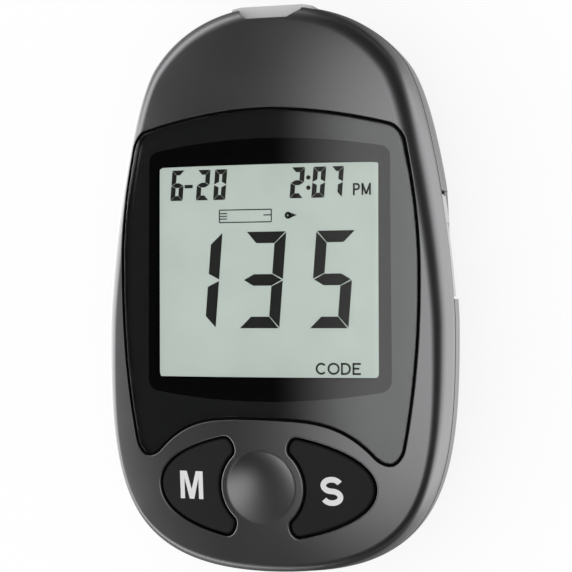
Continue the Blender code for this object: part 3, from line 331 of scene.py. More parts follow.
# %% [markdown]
# Finishes are node trees. A sum such as 1 - mask * 2 reads better than four nodes wired by
# hand, so a small class wraps a socket and turns Python's operators into Math nodes.

# %% A recipe for a finish
class Value:
    """A socket that can be used in sums."""

    def __init__(self, recipe, socket):
        self.recipe = recipe
        self.socket = socket

    def math(self, operation, *values):
        return self.recipe.node("ShaderNodeMath", {"operation": operation}, list(values))

    def __add__(self, other):
        return self.math("ADD", self, other)

    def __sub__(self, other):
        return self.math("SUBTRACT", self, other)

    def __rsub__(self, other):
        return self.math("SUBTRACT", other, self)

    def __mul__(self, other):
        return self.math("MULTIPLY", self, other)

    __radd__ = __add__
    __rmul__ = __mul__

    def step(self, low, high):
        """Smooth rise from 0 at low to 1 at high."""
        kind = {"interpolation_type": "SMOOTHSTEP"}
        ends = {"Value": self, "From Min": low, "From Max": high}
        return self.recipe.node("ShaderNodeMapRange", kind, ends)


class Recipe:
    """A material's node tree round one Principled shader."""

    def __init__(self, name, colour=(0.5, 0.5, 0.5), **settings):
        self.material = bpy.data.materials.new(name)
        self.material.use_nodes = True
        self.tree = self.material.node_tree
        self.shader = self.tree.nodes["Principled BSDF"]
        self.output = self.tree.nodes["Material Output"]
        self.set("Base Color", (*colour, 1))
        for socket, value in settings.items():
            self.set(socket.replace("_", " "), value)

    def plug(self, socket, value):
        if isinstance(value, Value):
            self.tree.links.new(value.socket, socket)
        else:
            socket.default_value = value

    def set(self, socket, value):
        self.plug(self.shader.inputs[socket], value)

    def node(self, kind, settings=(), inputs=(), output=0):
        new = self.tree.nodes.new(kind)
        for key, value in dict(settings).items():
            setattr(new, key, value)
        for key, value in inputs.items() if isinstance(inputs, dict) else enumerate(inputs):
            self.plug(new.inputs[key], value)
        return Value(self, new.outputs[output])

    def place(self):
        return self.node("ShaderNodeTexCoord", output=3)

    def axes(self):
        split = self.node("ShaderNodeSeparateXYZ", inputs=[self.place()])
        return [Value(self, socket) for socket in split.socket.node.outputs]

    def noise(self, size, detail=3, where=None):
        """Noise between 0 and 1 whose lumps are about the given size."""
        inputs = {"Vector": where or self.place(), "Scale": 1 / size, "Detail": detail}
        return self.node("ShaderNodeTexNoise", inputs=inputs)

    def tint(self, share, first, second):
        """First colour where share is 0, second where it is 1."""
        inputs = {0: share, 6: (*first, 1), 7: (*second, 1)}
        return self.node("ShaderNodeMix", {"data_type": "RGBA"}, inputs, output=2)

    def bump(self, height, depth, strength=1.0):
        inputs = {"Height": height, "Distance": depth, "Strength": strength}
        self.set("Normal", self.node("ShaderNodeBump", inputs=inputs))

    def surface(self, shader):
        self.plug(self.output.inputs["Surface"], shader)

    def principled(self):
        return Value(self, self.shader.outputs[0])


# %% [markdown]
# The shells are dark grey plastic with a satin, slightly metallic paint: the colour sits in the
# gloss, which is why the face turns from near black to mid grey across the dome.
# A very fine grain keeps the paint from looking like glass.

# %% Paint of the shells
def graphite_paint():
    paint = Recipe("graphite_paint", Metallic=0.955)
    flake = paint.noise(0.12 * mm, 2)
    cloud = paint.noise(9 * mm, 3)
    mottle = cloud * 0.6 + flake * 0.4
    paint.set("Base Color", paint.tint(mottle, (0.21, 0.21, 0.215), (0.245, 0.245, 0.25)))
    paint.set("Roughness", 0.28 + cloud * 0.05 + flake * 0.04)
    paint.bump(flake, 0.002 * mm, 0.5)
    return paint.material


# Painted shade: the shells are the same painted plastic all over, and this black stands in for the shade
# down in their hollows and seams.
def painted_shade_black():
    """Painted shade: a flat black for the walls of the window pocket, the key holes and the parting
    seam.
    """
    shade_coat = Recipe("shade_black", Specular_IOR_Level=0.05)
    grain = shade_coat.noise(0.3 * mm, 2)
    shade_coat.set("Base Color", shade_coat.tint(grain, (0.007, 0.007, 0.007), (0.01, 0.01, 0.01)))
    shade_coat.set("Roughness", 0.75 + grain * 0.1)
    return shade_coat.material


graphite = graphite_paint()
shade_black = painted_shade_black()

# %% [markdown]
# The window is a clear sheet, printed black on its underside round the display.
# Its gloss comes from the top surface; the print lies in its own thin layers below it.

# %% Finish of the window and its print
def clear_window():
    sheet = Recipe("clear_window")
    rub = sheet.noise(3 * mm, 4)
    shine = {"Color": (1, 1, 1, 1), "Roughness": 0.03 + rub * 0.02}
    gloss = sheet.node("ShaderNodeBsdfGlossy", inputs=shine)
    clear = sheet.node("ShaderNodeBsdfTransparent", inputs={"Color": (0.985, 0.99, 0.985, 1)})
    edge_on = sheet.node("ShaderNodeLayerWeight", inputs={"Blend": 0.5}, output=1)
    x, y, z = sheet.axes()
    across = x.step(-17.3 * mm, -16.9 * mm) * (1 - x.step(16.5 * mm, 16.9 * mm))
    over_display = across * y.step(-13.4 * mm, -13 * mm) * (1 - y.step(17.9 * mm, 18.3 * mm))
    share = (edge_on.math("POWER", edge_on, 5.0) * 0.95 + 0.04) * (1 - over_display * 0.75)
    sheet.surface(sheet.node("ShaderNodeMixShader", inputs=[share, clear, gloss]))
    return sheet.material


def print_ink(name, colour, metallic, roughness, specular):
    ink = Recipe(name, Metallic=metallic, Specular_IOR_Level=specular)
    grain = ink.noise(0.2 * mm, 2)
    ink.set("Base Color", ink.tint(grain, colour, tuple(c * 1.15 for c in colour)))
    ink.set("Roughness", roughness + grain * 0.04)
    return ink.material


window_finish = clear_window()
mask_ink = print_ink("mask_ink", (0.0008, 0.0008, 0.0009), 0.0, 0.6, 0.0)
border_ink = print_ink("border_ink", (0.056, 0.056, 0.058), 0.85, 0.12, 0.0)


# %% [markdown]
# The other finishes: matt black keys with pale printed letters, a pale grey port, the grey-green
# display with black figures, and the plain moulded, metal and board pieces inside.

# %% The other finishes
def moulded(name, colour, roughness=0.5, grain=0.15 * mm, depth=0.004 * mm, **settings):
    plastic = Recipe(name, Roughness=roughness, **settings)
    fine = plastic.noise(grain, 3)
    broad = plastic.noise(6 * mm, 2)
    darker, lighter = [tuple(c * share for c in colour) for share in (0.93, 1.07)]
    plastic.set("Base Color", plastic.tint(broad, darker, lighter))
    plastic.set("Roughness", roughness - 0.05 + broad * 0.06 + fine * 0.04)
    plastic.bump(fine, depth, 0.6)
    return plastic.material


def metal(name, colour, roughness):
    plate = Recipe(name, Metallic=1.0)
    x, y, z = plate.axes()
    line = plate.noise(1 * mm, 4, plate.node("ShaderNodeCombineXYZ", inputs=[x * 12, y, z]))
    plate.set("Base Color", plate.tint(line, tuple(c * 0.9 for c in colour), colour))
    plate.set("Roughness", roughness + line * 0.1)
    return plate.material


key_black = moulded("key_black", (0.0125, 0.0125, 0.013), 0.6, Specular_IOR_Level=0.15)
letter_white = moulded("letter_white", (0.66, 0.66, 0.66), 0.5)
port_grey = moulded("port_grey", (0.62, 0.62, 0.63), 0.4)
chip_white = moulded("chip_white", (0.8, 0.8, 0.79), 0.45)
inner_black = moulded("inner_black", (0.025, 0.025, 0.026), 0.5)
inner_white = moulded("inner_white", (0.75, 0.75, 0.72), 0.5)
rubber_grey = moulded("rubber_grey", (0.2, 0.2, 0.21), 0.8)
tape_white = moulded("tape_white", (0.78, 0.78, 0.75), 0.7)
figure_black = moulded("figure_black", (0.004, 0.005, 0.004), 0.6)
display_grey = moulded("display_grey", (0.52, 0.585, 0.546), 0.7, depth=0.001 * mm,
                       Specular_IOR_Level=0.05)
steel = metal("bright_steel", (0.62, 0.62, 0.6), 0.28)
screw_steel = metal("screw_steel", (0.42, 0.42, 0.43), 0.32)
cell_can = metal("cell_can", (0.66, 0.66, 0.64), 0.22)
gold = metal("gold_plate", (0.85, 0.6, 0.25), 0.25)


def board_finish():
    board = Recipe("board_green", Roughness=0.35)
    track = board.node("ShaderNodeTexBrick", {"offset": 0.5}, {
        "Vector": board.place(), "Scale": 1 / (1.1 * mm), "Mortar Size": 0.12,
        "Color1": (0.012, 0.11, 0.045, 1), "Color2": (0.015, 0.13, 0.055, 1),
        "Mortar": (0.03, 0.2, 0.09, 1)})
    board.set("Base Color", track)
    board.set("Roughness", 0.3 + board.noise(0.5 * mm) * 0.15)
    return board.material


board_green = board_finish()

# %% [markdown]
# The front shell is a loft. Rings run from the middle of the dome out to the shoulder, round
# it, down the drafted wall to the parting edge, and back up inside. The window pocket, the
# key holes and the thumb dish are then cut into it, each with a small rolled lip, because on
# a moulded shell no edge is knife sharp and it is these lips that catch the light.

# %% Front shell
def outer_rings():
    """Rings up the leaning wall from the parting edge, round the bend and in over the face."""
    radius = bend_radius(outline)
    wall_top = inset(outline, wall_inset)
    rise = crown(wall_top) - split_height
    rings = [ring(inset(outline, wall_inset * share), split_height + rise * share)
             for share in (0.05, 0.35, 0.7)]
    for step in range(19):
        turn = math.asin(full_roll) * (1 - step / 18)
        edge = inset(outline, wall_inset + radius * (full_roll - math.sin(turn)))
        rings.append(ring(edge, crown(edge)))
    for share in np.linspace(1, 0, 30)[1:-1] ** 0.9:
        rings.append(ring(edge * share, crown(edge * share)))
    return rings


def inner_rings():
    """The inside of the shell, 1.7 mm below the face and 1.8 mm in from the wall."""
    foot = inset(outline, 2.6 * mm)
    low = crown(inset(outline, wall_inset + 1.2 * mm)) - 2.4 * mm
    rings = [ring(inset(outline, 1.8 * mm), split_height + 1.05 * mm), ring(foot, low)]
    for depth in (3.4 * mm, 4.6 * mm):
        edge = inset(outline, depth)
        rings.append(ring(edge, crown(edge) - 1.7 * mm))
    return rings + [ring(edge * share, crown(edge * share) - 1.7 * mm) for share in (0.8, 0.6, 0.4, 0.2)]


def rolled_plug(name, loop, floor, radius, steps=5):
    """A cutter with upright sides and a lip that rolls out at the dome's surface."""
    rings = [ring(loop, crown(loop) - floor)]
    for step in range(steps + 1):
        turn = 90 * deg * step / steps
        wide = inset(loop, -radius * (1 - math.cos(turn)))
        rings.append(ring(wide, crown(wide) - radius * (1 - math.sin(turn))))
    rings.append(ring(wide, top_height + 2 * mm))
    return skin(name, rings)


def front_shell():
    rings = outer_rings()[::-1]
    rings += [ring(inset(outline, 0.06 * mm), split_height + 0.03 * mm),
              ring(inset(outline, 0.14 * mm), split_height),
              ring(inset(outline, 0.95 * mm), split_height),
              ring(inset(outline, 0.95 * mm), split_height + 1.05 * mm)]
    shell = skin("front_shell", rings + inner_rings())
    groove = inset(lens_outline(shell_points), -0.46 * mm)
    window = rounded_loop((-18.9 * mm, -15.57 * mm), (18.9 * mm, 20.43 * mm), 1.5 * mm)
    holes = [rolled_plug("key_hole", inset(key_outline(side, key_points), -0.02 * mm), 4 * mm, 0.28 * mm)
             for side in (1, -1)]
    pocket = rolled_plug("pocket", groove, 1.11 * mm, 0.14 * mm)
    # Painted shade: the walls and floors of the pocket and the key holes take the flat black, for the
    # shade that falls down in them.
    for cutter in (pocket, *holes):
        walls = key_points if cutter in holes else shell_points
        for face in (*cutter.data.polygons[:walls], cutter.data.polygons[-2]):
            face.material_index = 1
    for item in (shell, pocket, *holes):
        item.data.materials.append(graphite)
        item.data.materials.append(shade_black)
    # The display's opening goes first. Cut after the pocket, it left a flap of the floor behind.
    combine(shell, [plug("window", window, 10 * mm, 25 * mm)])
    combine(shell, [pocket, *holes])
    combine(shell, [thumb_dish(), *port_cutters()])
    return settle(shell, 28, follow_crown=True)


def thumb_dish():
    """A turned cutter: the dish's shallow bowl with a rolled rim."""
    rim, depth, roll = 5.5 * mm, 1.1 * mm, 0.14 * mm
    ball = (rim**2 + depth**2) / (2 * depth)
    seat = float(crown(key_hub[None])[0])
    profile = []
    for step in range(1, 15):
        radius = rim * step / 14
        profile.append((radius, -depth + ball - math.sqrt(ball**2 - radius**2)))
    profile += [(rim + roll * 0.6, 0.02 * mm), (rim + roll * 1.6, 0.12 * mm), (rim + roll * 2, 1 * mm)]
    rings = []
    for radius, height in profile:
        loop = round_loop(key_hub, radius, 96)
        share = min(radius / rim, 1) ** 2
        rings.append(ring(loop, crown(loop) * share + seat * (1 - share) + height))
    return skin("thumb_dish", rings)


def port_cutters():
    beyond, side = half_length + 2 * mm, 6.6 * mm
    notch = np.array([(-3.2 * mm, 39.9 * mm), (-5 * mm, 41.1 * mm), (-5 * mm, beyond),
                      (5 * mm, beyond), (5 * mm, 41.1 * mm), (3.2 * mm, 39.9 * mm)])
    mouth = block("mouth", (-side, 36.2 * mm, 9.3 * mm), (side, beyond, 15.6 * mm))
    return [plug("notch", notch, 15.3 * mm, 25 * mm), mouth]


front = finish_piece(front_shell(), graphite, replaced=["front_housing"],
                     shade_finish=shade_black)
print("front shell:", len(front.data.polygons), "faces")

# %% [markdown]
# The back shell is the same outline, rounded far under to a flat that the meter lies on. Its
# side is rounded like a stretched circle, and is fuller on the upper half.
# It is cut for the battery cover, the ejector slide, the screws, the code slot with a finger
# notch below it, the port and the jack.

# %% Back shell
def under_ring(depth, height):
    """Ring of the rounded back, drawn in towards the middle so that it never folds."""
    return ring(outline * (1 - np.outer(depth, (1 / half_width, 1 / half_length))), height)


fullness = np.interp(outline[:, 1], (0, 16 * mm), (2 / 2.6, 2 / 3.3))


def back_shell():
    seam = split_height - 0.1 * mm
    rings = []
    for step in range(1, 9):
        turn = 90 * deg * step / 8
        rings.append(under_ring(1.8 * mm + 10.2 * mm * (1 - math.cos(turn)),
                                split_height - (split_height - 1.8 * mm) * math.sin(turn)))
    rings = rings[::-1]
    rings += [ring(inset(outline, 1.8 * mm), split_height + 0.9 * mm),
              ring(inset(outline, 1.1 * mm), split_height + 0.9 * mm),
              ring(inset(outline, 1.1 * mm), seam), ring(inset(outline, 0.22 * mm), seam),
              ring(inset(outline, 0.03 * mm), seam - 0.04 * mm),
              ring(outline, seam - 0.1 * mm)]
    dark = len(rings) - 4
    for step in range(1, 27):
        turn = 90 * deg * (step / 26) ** 1.3
        depth, height = 1 - math.cos(turn) ** fullness, 1 - math.sin(turn) ** fullness
        rings.append(under_ring(12 * mm * depth, split_height * height))
    shell = skin("back_shell", rings)
    # Painted shade: the faces inside the parting seam take the flat black, for the shade in the gap
    # between the shells.
    for face in shell.data.polygons[shell_points * dark:shell_points * (dark + 2)]:
        face.material_index = 1
    shell.data.materials.append(graphite)
    shell.data.materials.append(shade_black)
    floor = [block("bay", (-13.5 * mm, -28.5 * mm, 0.9 * mm), (13.5 * mm, 0.5 * mm, 7 * mm)),
             block("slide_floor", (-6 * mm, 16.3 * mm, 0.9 * mm), (6 * mm, 31.7 * mm, 2.7 * mm))]
    right_screws = (16.2 * mm, 26.2 * mm), (19.845 * mm, -22.525 * mm)
    screws = [(side * x, y) for x, y in right_screws for side in (1, -1)]
    for x, y in screws:
        loop = round_loop((x, y), 3 * mm)
        distance = np.array([np.min(np.linalg.norm(outline - p, axis=1)) for p in loop])
        under = np.clip(1 - distance / (12 * mm), 0, 1)
        floor.append(plug("well", loop, split_height * (1 - np.sqrt(1 - under**2)) + 0.9 * mm, 9.6 * mm))
    combine(shell, floor, "UNION")
    opening = rounded_loop((-12.3 * mm, -27.3 * mm), (12.3 * mm, -0.7 * mm), 2 * mm)
    slide = rounded_loop((-4.8 * mm, 17.5 * mm), (4.8 * mm, 30.5 * mm), 0.6 * mm)
    cutters = [plug("cover", opening, -2 * mm, 1.5 * mm),
               block("cell", (-10.9 * mm, -25.9 * mm, 0), (10.9 * mm, -2.1 * mm, 5.8 * mm)),
               plug("slide", slide, -2 * mm, 1.5 * mm),
               block("arm", (2 * mm, 21.6 * mm, 1.2 * mm), (4 * mm, 30.4 * mm, 12 * mm)),
               block("code", (19.4 * mm, -1.7 * mm, 6.9 * mm), (30 * mm, 14.3 * mm, 15 * mm)),
               block("finger_notch", (24.3 * mm, -1.75 * mm, 1.6 * mm), (30 * mm, 14.35 * mm, 7.1 * mm)),
               block("port", (-6.6 * mm, 36.2 * mm, 9.3 * mm), (6.6 * mm, 45 * mm, 15 * mm))]
    cutters += [plug("head", round_loop(place, 2.2 * mm), -2 * mm, 6 * mm) for place in screws]
    jack = plug("jack", round_loop((0, 0), 2.2 * mm), -2 * mm, 4.4 * mm)
    end_wall = Matrix.Translation((0, -half_length, 9.4 * mm))
    jack.data.transform(end_wall @ Matrix.Rotation(-90 * deg, 4, "X"))
    combine(shell, [*cutters, jack])
    return settle(shell, 28)


back = finish_piece(back_shell(), graphite, replaced=["back_housing"],
                    shade_finish=shade_black)
print("back shell:", len(back.data.polygons), "faces")

# %% [markdown]
# The window follows the dome in its pocket. Its edge is rolled, like any polished sheet's.
# Below it lie two printed layers: the grey border, and the black mask with the display's window.

# %% Window and print
lens_depth = 0.8 * mm


def window_sheet():
    loop = lens_outline(shell_points)
    roll = 0.13 * mm
    shares = [*np.linspace(0.1, 0.9, 9), 0.925, 0.95, 0.975]
    rings = [ring(loop * share, crown(loop * share) - lens_depth) for share in shares]
    rings += [ring(loop, crown(loop) - lens_depth)]
    for step in range(7):
        turn = 90 * deg * step / 6
        inner = inset(loop, roll * (1 - math.cos(turn)))
        rings.append(ring(inner, crown(inner) - roll * (1 - math.sin(turn))))
    shares = [*np.linspace(0.99, 0.9, 10), *np.linspace(0.86, 0.06, 20)]
    rings += [ring(inner * share, crown(inner * share)) for share in shares]
    return settle(skin("window_sheet", rings), 40, follow_crown=True)


def mask_outline(count):
    """The printed mask, round at top and bottom. Its places are those under the sheet."""
    knots = [((0, 22 * mm), 0, 0, 6 * mm), ((17.3 * mm, 20.6 * mm), -9 * deg, 6 * mm, 0.8 * mm),
             ((18.75 * mm, 19.1 * mm), -90 * deg, 0.8 * mm, 8 * mm),
             ((18.9 * mm, -13.6 * mm), -90 * deg, 8 * mm, 0.8 * mm),
             ((17.4 * mm, -15.3 * mm), -171 * deg, 0.8 * mm, 6 * mm),
             ((0, -16.7 * mm), -180 * deg, 6 * mm, 0)]
    return even(both_sides(run_through(knots)), count)


def layer_below(name, outer, inner, depth, thick=0.02 * mm, lip=None):
    """A ring between two loops below the window, which may turn up round its edge to the lip."""
    inner = np.array([hit_from_middle(inner, p) for p in outer])
    rings = [ring(outer, crown(outer) - lip)] if lip else []
    for share in (0, 0.08, 0.16, 0.25, 0.5, 0.75, 1):
        loop = outer * (1 - share) + inner * share
        rings.append(ring(loop, crown(loop) - depth))
    low = [r - (0, 0, thick) for r in rings[:0:-1]] if lip else [r - (0, 0, thick) for r in rings[::-1]]
    if lip:
        wide = inset(outer, -thick)
        low += [ring(wide, crown(outer) - depth - thick), ring(wide, crown(outer) - lip)]
    return settle(skin(name, rings + low, closed=True), 60)


def hit_from_middle(loop, point, middle=np.array((0, 2.6 * mm))):
    """Where the line from the display's middle through a point crosses a loop."""
    way = point - middle
    a, b = loop - middle, np.roll(loop, -1, axis=0) - loop
    cross = way[0] * b[:, 1] - way[1] * b[:, 0]
    cross[np.abs(cross) < 1e-18] = 1e-18
    along = (a[:, 0] * b[:, 1] - a[:, 1] * b[:, 0]) / cross
    on_edge = (a[:, 0] * way[1] - a[:, 1] * way[0]) / cross
    hits = along[(on_edge >= -1e-9) & (on_edge <= 1 + 1e-9) & (along > 0)]
    return middle + way * hits.min()


sheet = finish_piece(window_sheet(), window_finish, replaced=["window_lens"])
mask_loop = mask_outline(240)
view_window = rounded_loop((-16.9 * mm, -13.12 * mm), (17.05 * mm, 18.13 * mm), 0.15 * mm, 2)
mask = layer_below("printed_mask", mask_loop, view_window, lens_depth + 0.01 * mm)
finish_piece(mask, mask_ink)
mask.visible_diffuse = mask.visible_shadow = False
border = layer_below("printed_border", inset(lens_outline(shell_points), -0.01 * mm), mask_loop,
                     lens_depth + 0.01 * mm, lip=0.16 * mm)
finish_piece(border, border_ink)
tape = layer_below("edge_tape", inset(lens_outline(shell_points), 0.4 * mm),
                   inset(lens_outline(shell_points), 2 * mm), lens_depth + 0.05 * mm, thick=0.25 * mm)
finish_piece(tape, tape_white, replaced=["window_tape"])

# %% [markdown]
# The keys fill their holes a quarter of a millimetre below the shell, and sit a little to the
# left in them. Each is drawn in a loft, with a rolled edge, and carries one pale letter.

# %% Keys
dome_top = 13.4 * mm


def key_cap(name, side):
    loop = inset(key_outline(side, key_points), 0.3 * mm) - (0.13 * mm, 0)
    hub = key_hub + (side * 11 * mm, 0)
    wide = inset(loop, -0.8 * mm)
    sink, roll = 0.25 * mm, 0.4 * mm
    rings = []
    for share in (0.5, 1):
        foot = hub + (wide - hub) * share
        rings.append(ring(foot, crown(foot) - 2.9 * mm))
    rings += [ring(wide, crown(wide) - 2 * mm), ring(loop, crown(loop) - 2 * mm)]
    for step in range(8):
        turn = 90 * deg * step / 7
        inner = inset(loop, roll * (1 - math.cos(turn)))
        rings.append(ring(inner, crown(inner) - sink - roll * (1 - math.sin(turn))))
    for share in np.linspace(0.93, 0.06, 14):
        small = hub + (inner - hub) * share
        rings.append(ring(small, crown(small) - sink))
    cap = skin(name, rings)
    stem = plug("stem", round_loop(hub, 1.6 * mm, 32), dome_top + 0.1 * mm, 17.5 * mm)
    return settle(combine(cap, [stem], "UNION"), 35)


for name, body, side in (("m_button", "m_key", -1), ("s_button", "s_key", 1)):
    finish_piece(key_cap(name + "_cap", side), key_black, body, [name])

# %% [markdown]
# Under each key a snap dome of thin sheet steel closes the contact. It buckles as the key goes
# down. The stem presses its middle, and its rim stays put.

# %% Snap domes
def snap_dome(name):
    low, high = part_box(name)
    centre, wide, sheet_thick = (low + high) / 2, (high.x - low.x) / 2, 0.1 * mm
    rise = high.z - low.z - sheet_thick
    under = [ring(round_loop(centre, wide * share), low.z + rise * (1 - share * share))
             for share in np.linspace(0.08, 1, 10)]
    return settle(skin(name + "_sheet", under + [r + (0, 0, sheet_thick) for r in under[::-1]]), 40)


for key in "ms":
    name = key + "_dome"
    dome = finish_piece(snap_dome(name), steel, replaced=[name])
    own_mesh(dome)

# %% [markdown]
# Figures and letters are thin prints. Each is made of strokes: a stroke is a path with a
# width, turned into a flat strip that follows the surface below it.


# %% Strokes and figures
def strip_faces(polygons, height, thick, name):
    """Thin flat prints with the given plan outlines, on a height or on a function for it."""
    points, faces = [], []
    for polygon in polygons:
        polygon = np.array(polygon)
        base = height(polygon) if callable(height) else np.full(len(polygon), height)
        start, count = len(points), len(polygon)
        points += [*np.column_stack([polygon, base]), *np.column_stack([polygon, base + thick])]
        faces += [tuple(range(start, start + count)), tuple(range(start + count, start + 2 * count))]
        for i in range(count):
            j = (i + 1) % count
            faces.append((start + i, start + j, start + count + j, start + count + i))
    return solid(name, points, faces)


def stroke(path, width):
    """The outline of a stroke of even width along a path, with square ends."""
    path = np.array(path, float)
    way = np.gradient(path, axis=0)
    way /= np.linalg.norm(way, axis=1)[:, None]
    side = np.column_stack([-way[:, 1], way[:, 0]]) * width / 2
    return np.concatenate([path + side, (path - side)[::-1]])


def arc(centre, radii, start, end, steps=16):
    angle = np.linspace(start, end, steps + 1) * deg
    return np.column_stack([centre[0] + radii[0] * np.cos(angle), centre[1] + radii[1] * np.sin(angle)])


segments_of = {"0": "abcdef", "1": "bc", "2": "abged", "3": "abgcd", "5": "afgcd", "6": "afgedc",
               "7": "abc"}


def digit(figure, low, high, thick, slant, gap):
    """Seven-segment figure in the box from low to high, leaning by slant."""
    (x0, y0), (x1, y1) = low, high
    middle, half = (y0 + y1) / 2, thick / 2
    above, below = middle + half + gap, middle - half - gap
    shapes = {
        "a": [(x0 + gap, y1), (x1 - gap, y1), (x1 - thick, y1 - thick), (x0 + thick, y1 - thick)],
        "d": [(x0 + gap, y0), (x1 - gap, y0), (x1 - thick, y0 + thick), (x0 + thick, y0 + thick)],
        "g": [(x0 + gap * 1.5, middle), (x0 + thick, middle + half), (x1 - thick, middle + half),
              (x1 - gap * 1.5, middle), (x1 - thick, middle - half), (x0 + thick, middle - half)],
        "f": [(x0, y1 - gap), (x0 + thick, y1 - thick - gap), (x0 + thick, above), (x0, middle + gap)],
        "b": [(x1, y1 - gap), (x1 - thick, y1 - thick - gap), (x1 - thick, above), (x1, middle + gap)],
        "e": [(x0, y0 + gap), (x0 + thick, y0 + thick + gap), (x0 + thick, below), (x0, middle - gap)],
        "c": [(x1, y0 + gap), (x1 - thick, y0 + thick + gap), (x1 - thick, below), (x1, middle - gap)],
    }
    lean = math.tan(slant)
    return [[(x + (y - y0) * lean, y) for x, y in shapes[s]] for s in segments_of[figure]]


def bars(low, high, lines, width):
    """Straight strokes given as pairs of places in a unit box, in the box from low to high."""
    low, size = np.array(low), np.array(high) - low
    return [stroke([low + size * a, low + size * b], width) for a, b in lines]


def letter(name, low, high, width):
    """A plain upper case letter in the box from low to high, as strokes of one width."""
    low, high = np.array(low) + width / 2, np.array(high) - width / 2
    size, middle = high - low, (low + high) / 2
    e = width / 2 / size
    stem = ((0, -e[1]), (0, 1 + e[1]))
    if name == "E":
        lines = [stem, ((0, 1), (1 + e[0], 1)), ((0, 0.53), (0.92, 0.53)), ((0, 0), (1 + e[0], 0))]
        return bars(low, high, lines, width)
    if name == "M":
        lines = [stem, ((1, -e[1]), (1, 1 + e[1])), ((0, 1), (0.5, 0)), ((0.5, 0), (1, 1))]
        return bars(low, high, lines, width)
    if name == "P":
        centre, radii = low + size * (0.6, 0.74), size * (0.4, 0.26)
        lines = [stem, ((0, 1), (0.6, 1)), ((0, 0.48), (0.6, 0.48))]
        return [*bars(low, high, lines, width), stroke(arc(centre, radii, 90, -90), width)]
    if name == "D":
        centre, radii = (low[0] + size[0] * 0.4, middle[1]), size * (0.6, 0.5)
        lines = [stem, ((0, 1), (0.4, 1)), ((0, 0), (0.4, 0))]
        return [*bars(low, high, lines, width), stroke(arc(centre, radii, 90, -90, 24), width)]
    if name == "C":
        return [stroke(arc(middle, size / 2, 42, 318, 30), width)]
    if name == "O":
        return [stroke(arc(middle, size / 2, 0, 358, 40), width)]
    upper, lower = middle + (0, size[1] / 4), middle - (0, size[1] / 4)
    bend = np.array((size[0] / 2, size[1] / 4))
    return [stroke(np.concatenate([arc(upper, bend, 22, 262), arc(lower, bend, 82, -158)]), width)]


glass_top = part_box("lcd_front_glass")[1].z
figures = []
slant = 4.5 * deg
for figure, x0, x1 in (("1", -13.9, -8.35), ("3", -4.6, 1.65), ("5", 6.3, 12.25)):
    figures += digit(figure, (x0 * mm, -5.95 * mm), (x1 * mm, 8.35 * mm), 1.7 * mm, slant, 0.12 * mm)
for figure, x0, x1 in (("6", -15.55, -13.6), ("2", -11.45, -9.45), ("0", -8.7, -6.8),
                       ("2", 3.3, 5.35), ("0", 6.65, 8.6), ("7", 9.45, 11.3)):
    figures += digit(figure, (x0 * mm, 13.2 * mm), (x1 * mm, 17.75 * mm), 0.72 * mm, slant, 0.05 * mm)
for y in (14.7, 16.2):
    figures.append(arc((6.2 * mm, y * mm), (0.33 * mm, 0.33 * mm), 0, 345, 15))
figures.append(stroke([(-13.25 * mm, 15.3 * mm), (-11.95 * mm, 15.3 * mm)], 0.5 * mm))
for name, x0, x1 in (("P", 13, 14.05), ("M", 14.3, 15.7)):
    figures += letter(name, (x0 * mm, 13.45 * mm), (x1 * mm, 15.2 * mm), 0.27 * mm)
for name, x0, x1 in (("C", 7.25, 8.95), ("O", 9.05, 10.9), ("D", 11.1, 12.6), ("E", 12.85, 14.1)):
    figures += letter(name, (x0 * mm, -12.75 * mm), (x1 * mm, -11.0 * mm), 0.28 * mm)

strip_low, strip_high = (-7.7 * mm, 9.8 * mm), (0.45 * mm, 11.65 * mm)
strip_lines = [((0, 0), (1, 0)), ((1, 0), (1, 1)), ((1, 1), (0, 1)), ((0, 1), (0, 0)),
               ((0.85, 0.55), (1, 0.55)), *(((0, y), (0.15, y)) for y in (0.28, 0.5, 0.72))]
figures += bars(strip_low, strip_high, strip_lines, 0.15 * mm)
figures.append(stroke(arc((3.05 * mm, 10.7 * mm), (0.33 * mm, 0.33 * mm), 0, 355, 20), 0.38 * mm))
figures.append(np.array([(3.1, 11.22), (3.7, 10.98), (4.4, 10.72), (3.7, 10.44), (3.1, 10.18)]) * mm)
display_figures = strip_faces(figures, glass_top + 0.01 * mm, 0.02 * mm, "display_figures")
finish_piece(display_figures, figure_black)


def on_key(polygon):
    return crown(polygon) - 0.262 * mm


m_shape = [(0, 0), (0, 1), (0.3, 1), (0.5, 0.34), (0.7, 1), (1, 1), (1, 0), (0.81, 0), (0.81, 0.76),
           (0.6, 0), (0.4, 0), (0.19, 0.76), (0.19, 0)]
m_outline = np.array((-13.45 * mm, -31.3 * mm)) + np.array(m_shape) * (3.75 * mm, 4.15 * mm)
s_outline = letter("S", (8.55 * mm, -31.7 * mm), (11.85 * mm, -27.45 * mm), 0.82 * mm)
for name, body, shapes in (("m_letter", "m_key", [m_outline]), ("s_letter", "s_key", s_outline)):
    finish_piece(strip_faces(shapes, on_key, 0.05 * mm, name), letter_white, body)

# %% [markdown]
# The camera looks down at the display from the right, as the photograph does. The lens is
# long, so the sides stay nearly parallel.

# %% Camera
camera_data = bpy.data.cameras.new("camera")
camera_data.sensor_width = 36
camera_data.lens = 1784.99 / 572 * 36
camera_data.clip_start = 0.01
camera = bpy.data.objects.new("camera", camera_data)
right = Vector((0.95194566, -0.00284745, -0.30625375))
up = Vector((0.00661539, 0.99991465, 0.01126607))
back_way = Vector((0.30619554, -0.01275067, 0.95188325))
turn = Matrix((right, up, back_way)).transposed().to_4x4()
camera.matrix_world = Matrix.Translation(Vector((83.287, -3.081, 267.71)) * mm) @ turn
bpy.context.scene.collection.objects.link(camera)
bpy.context.scene.camera = camera
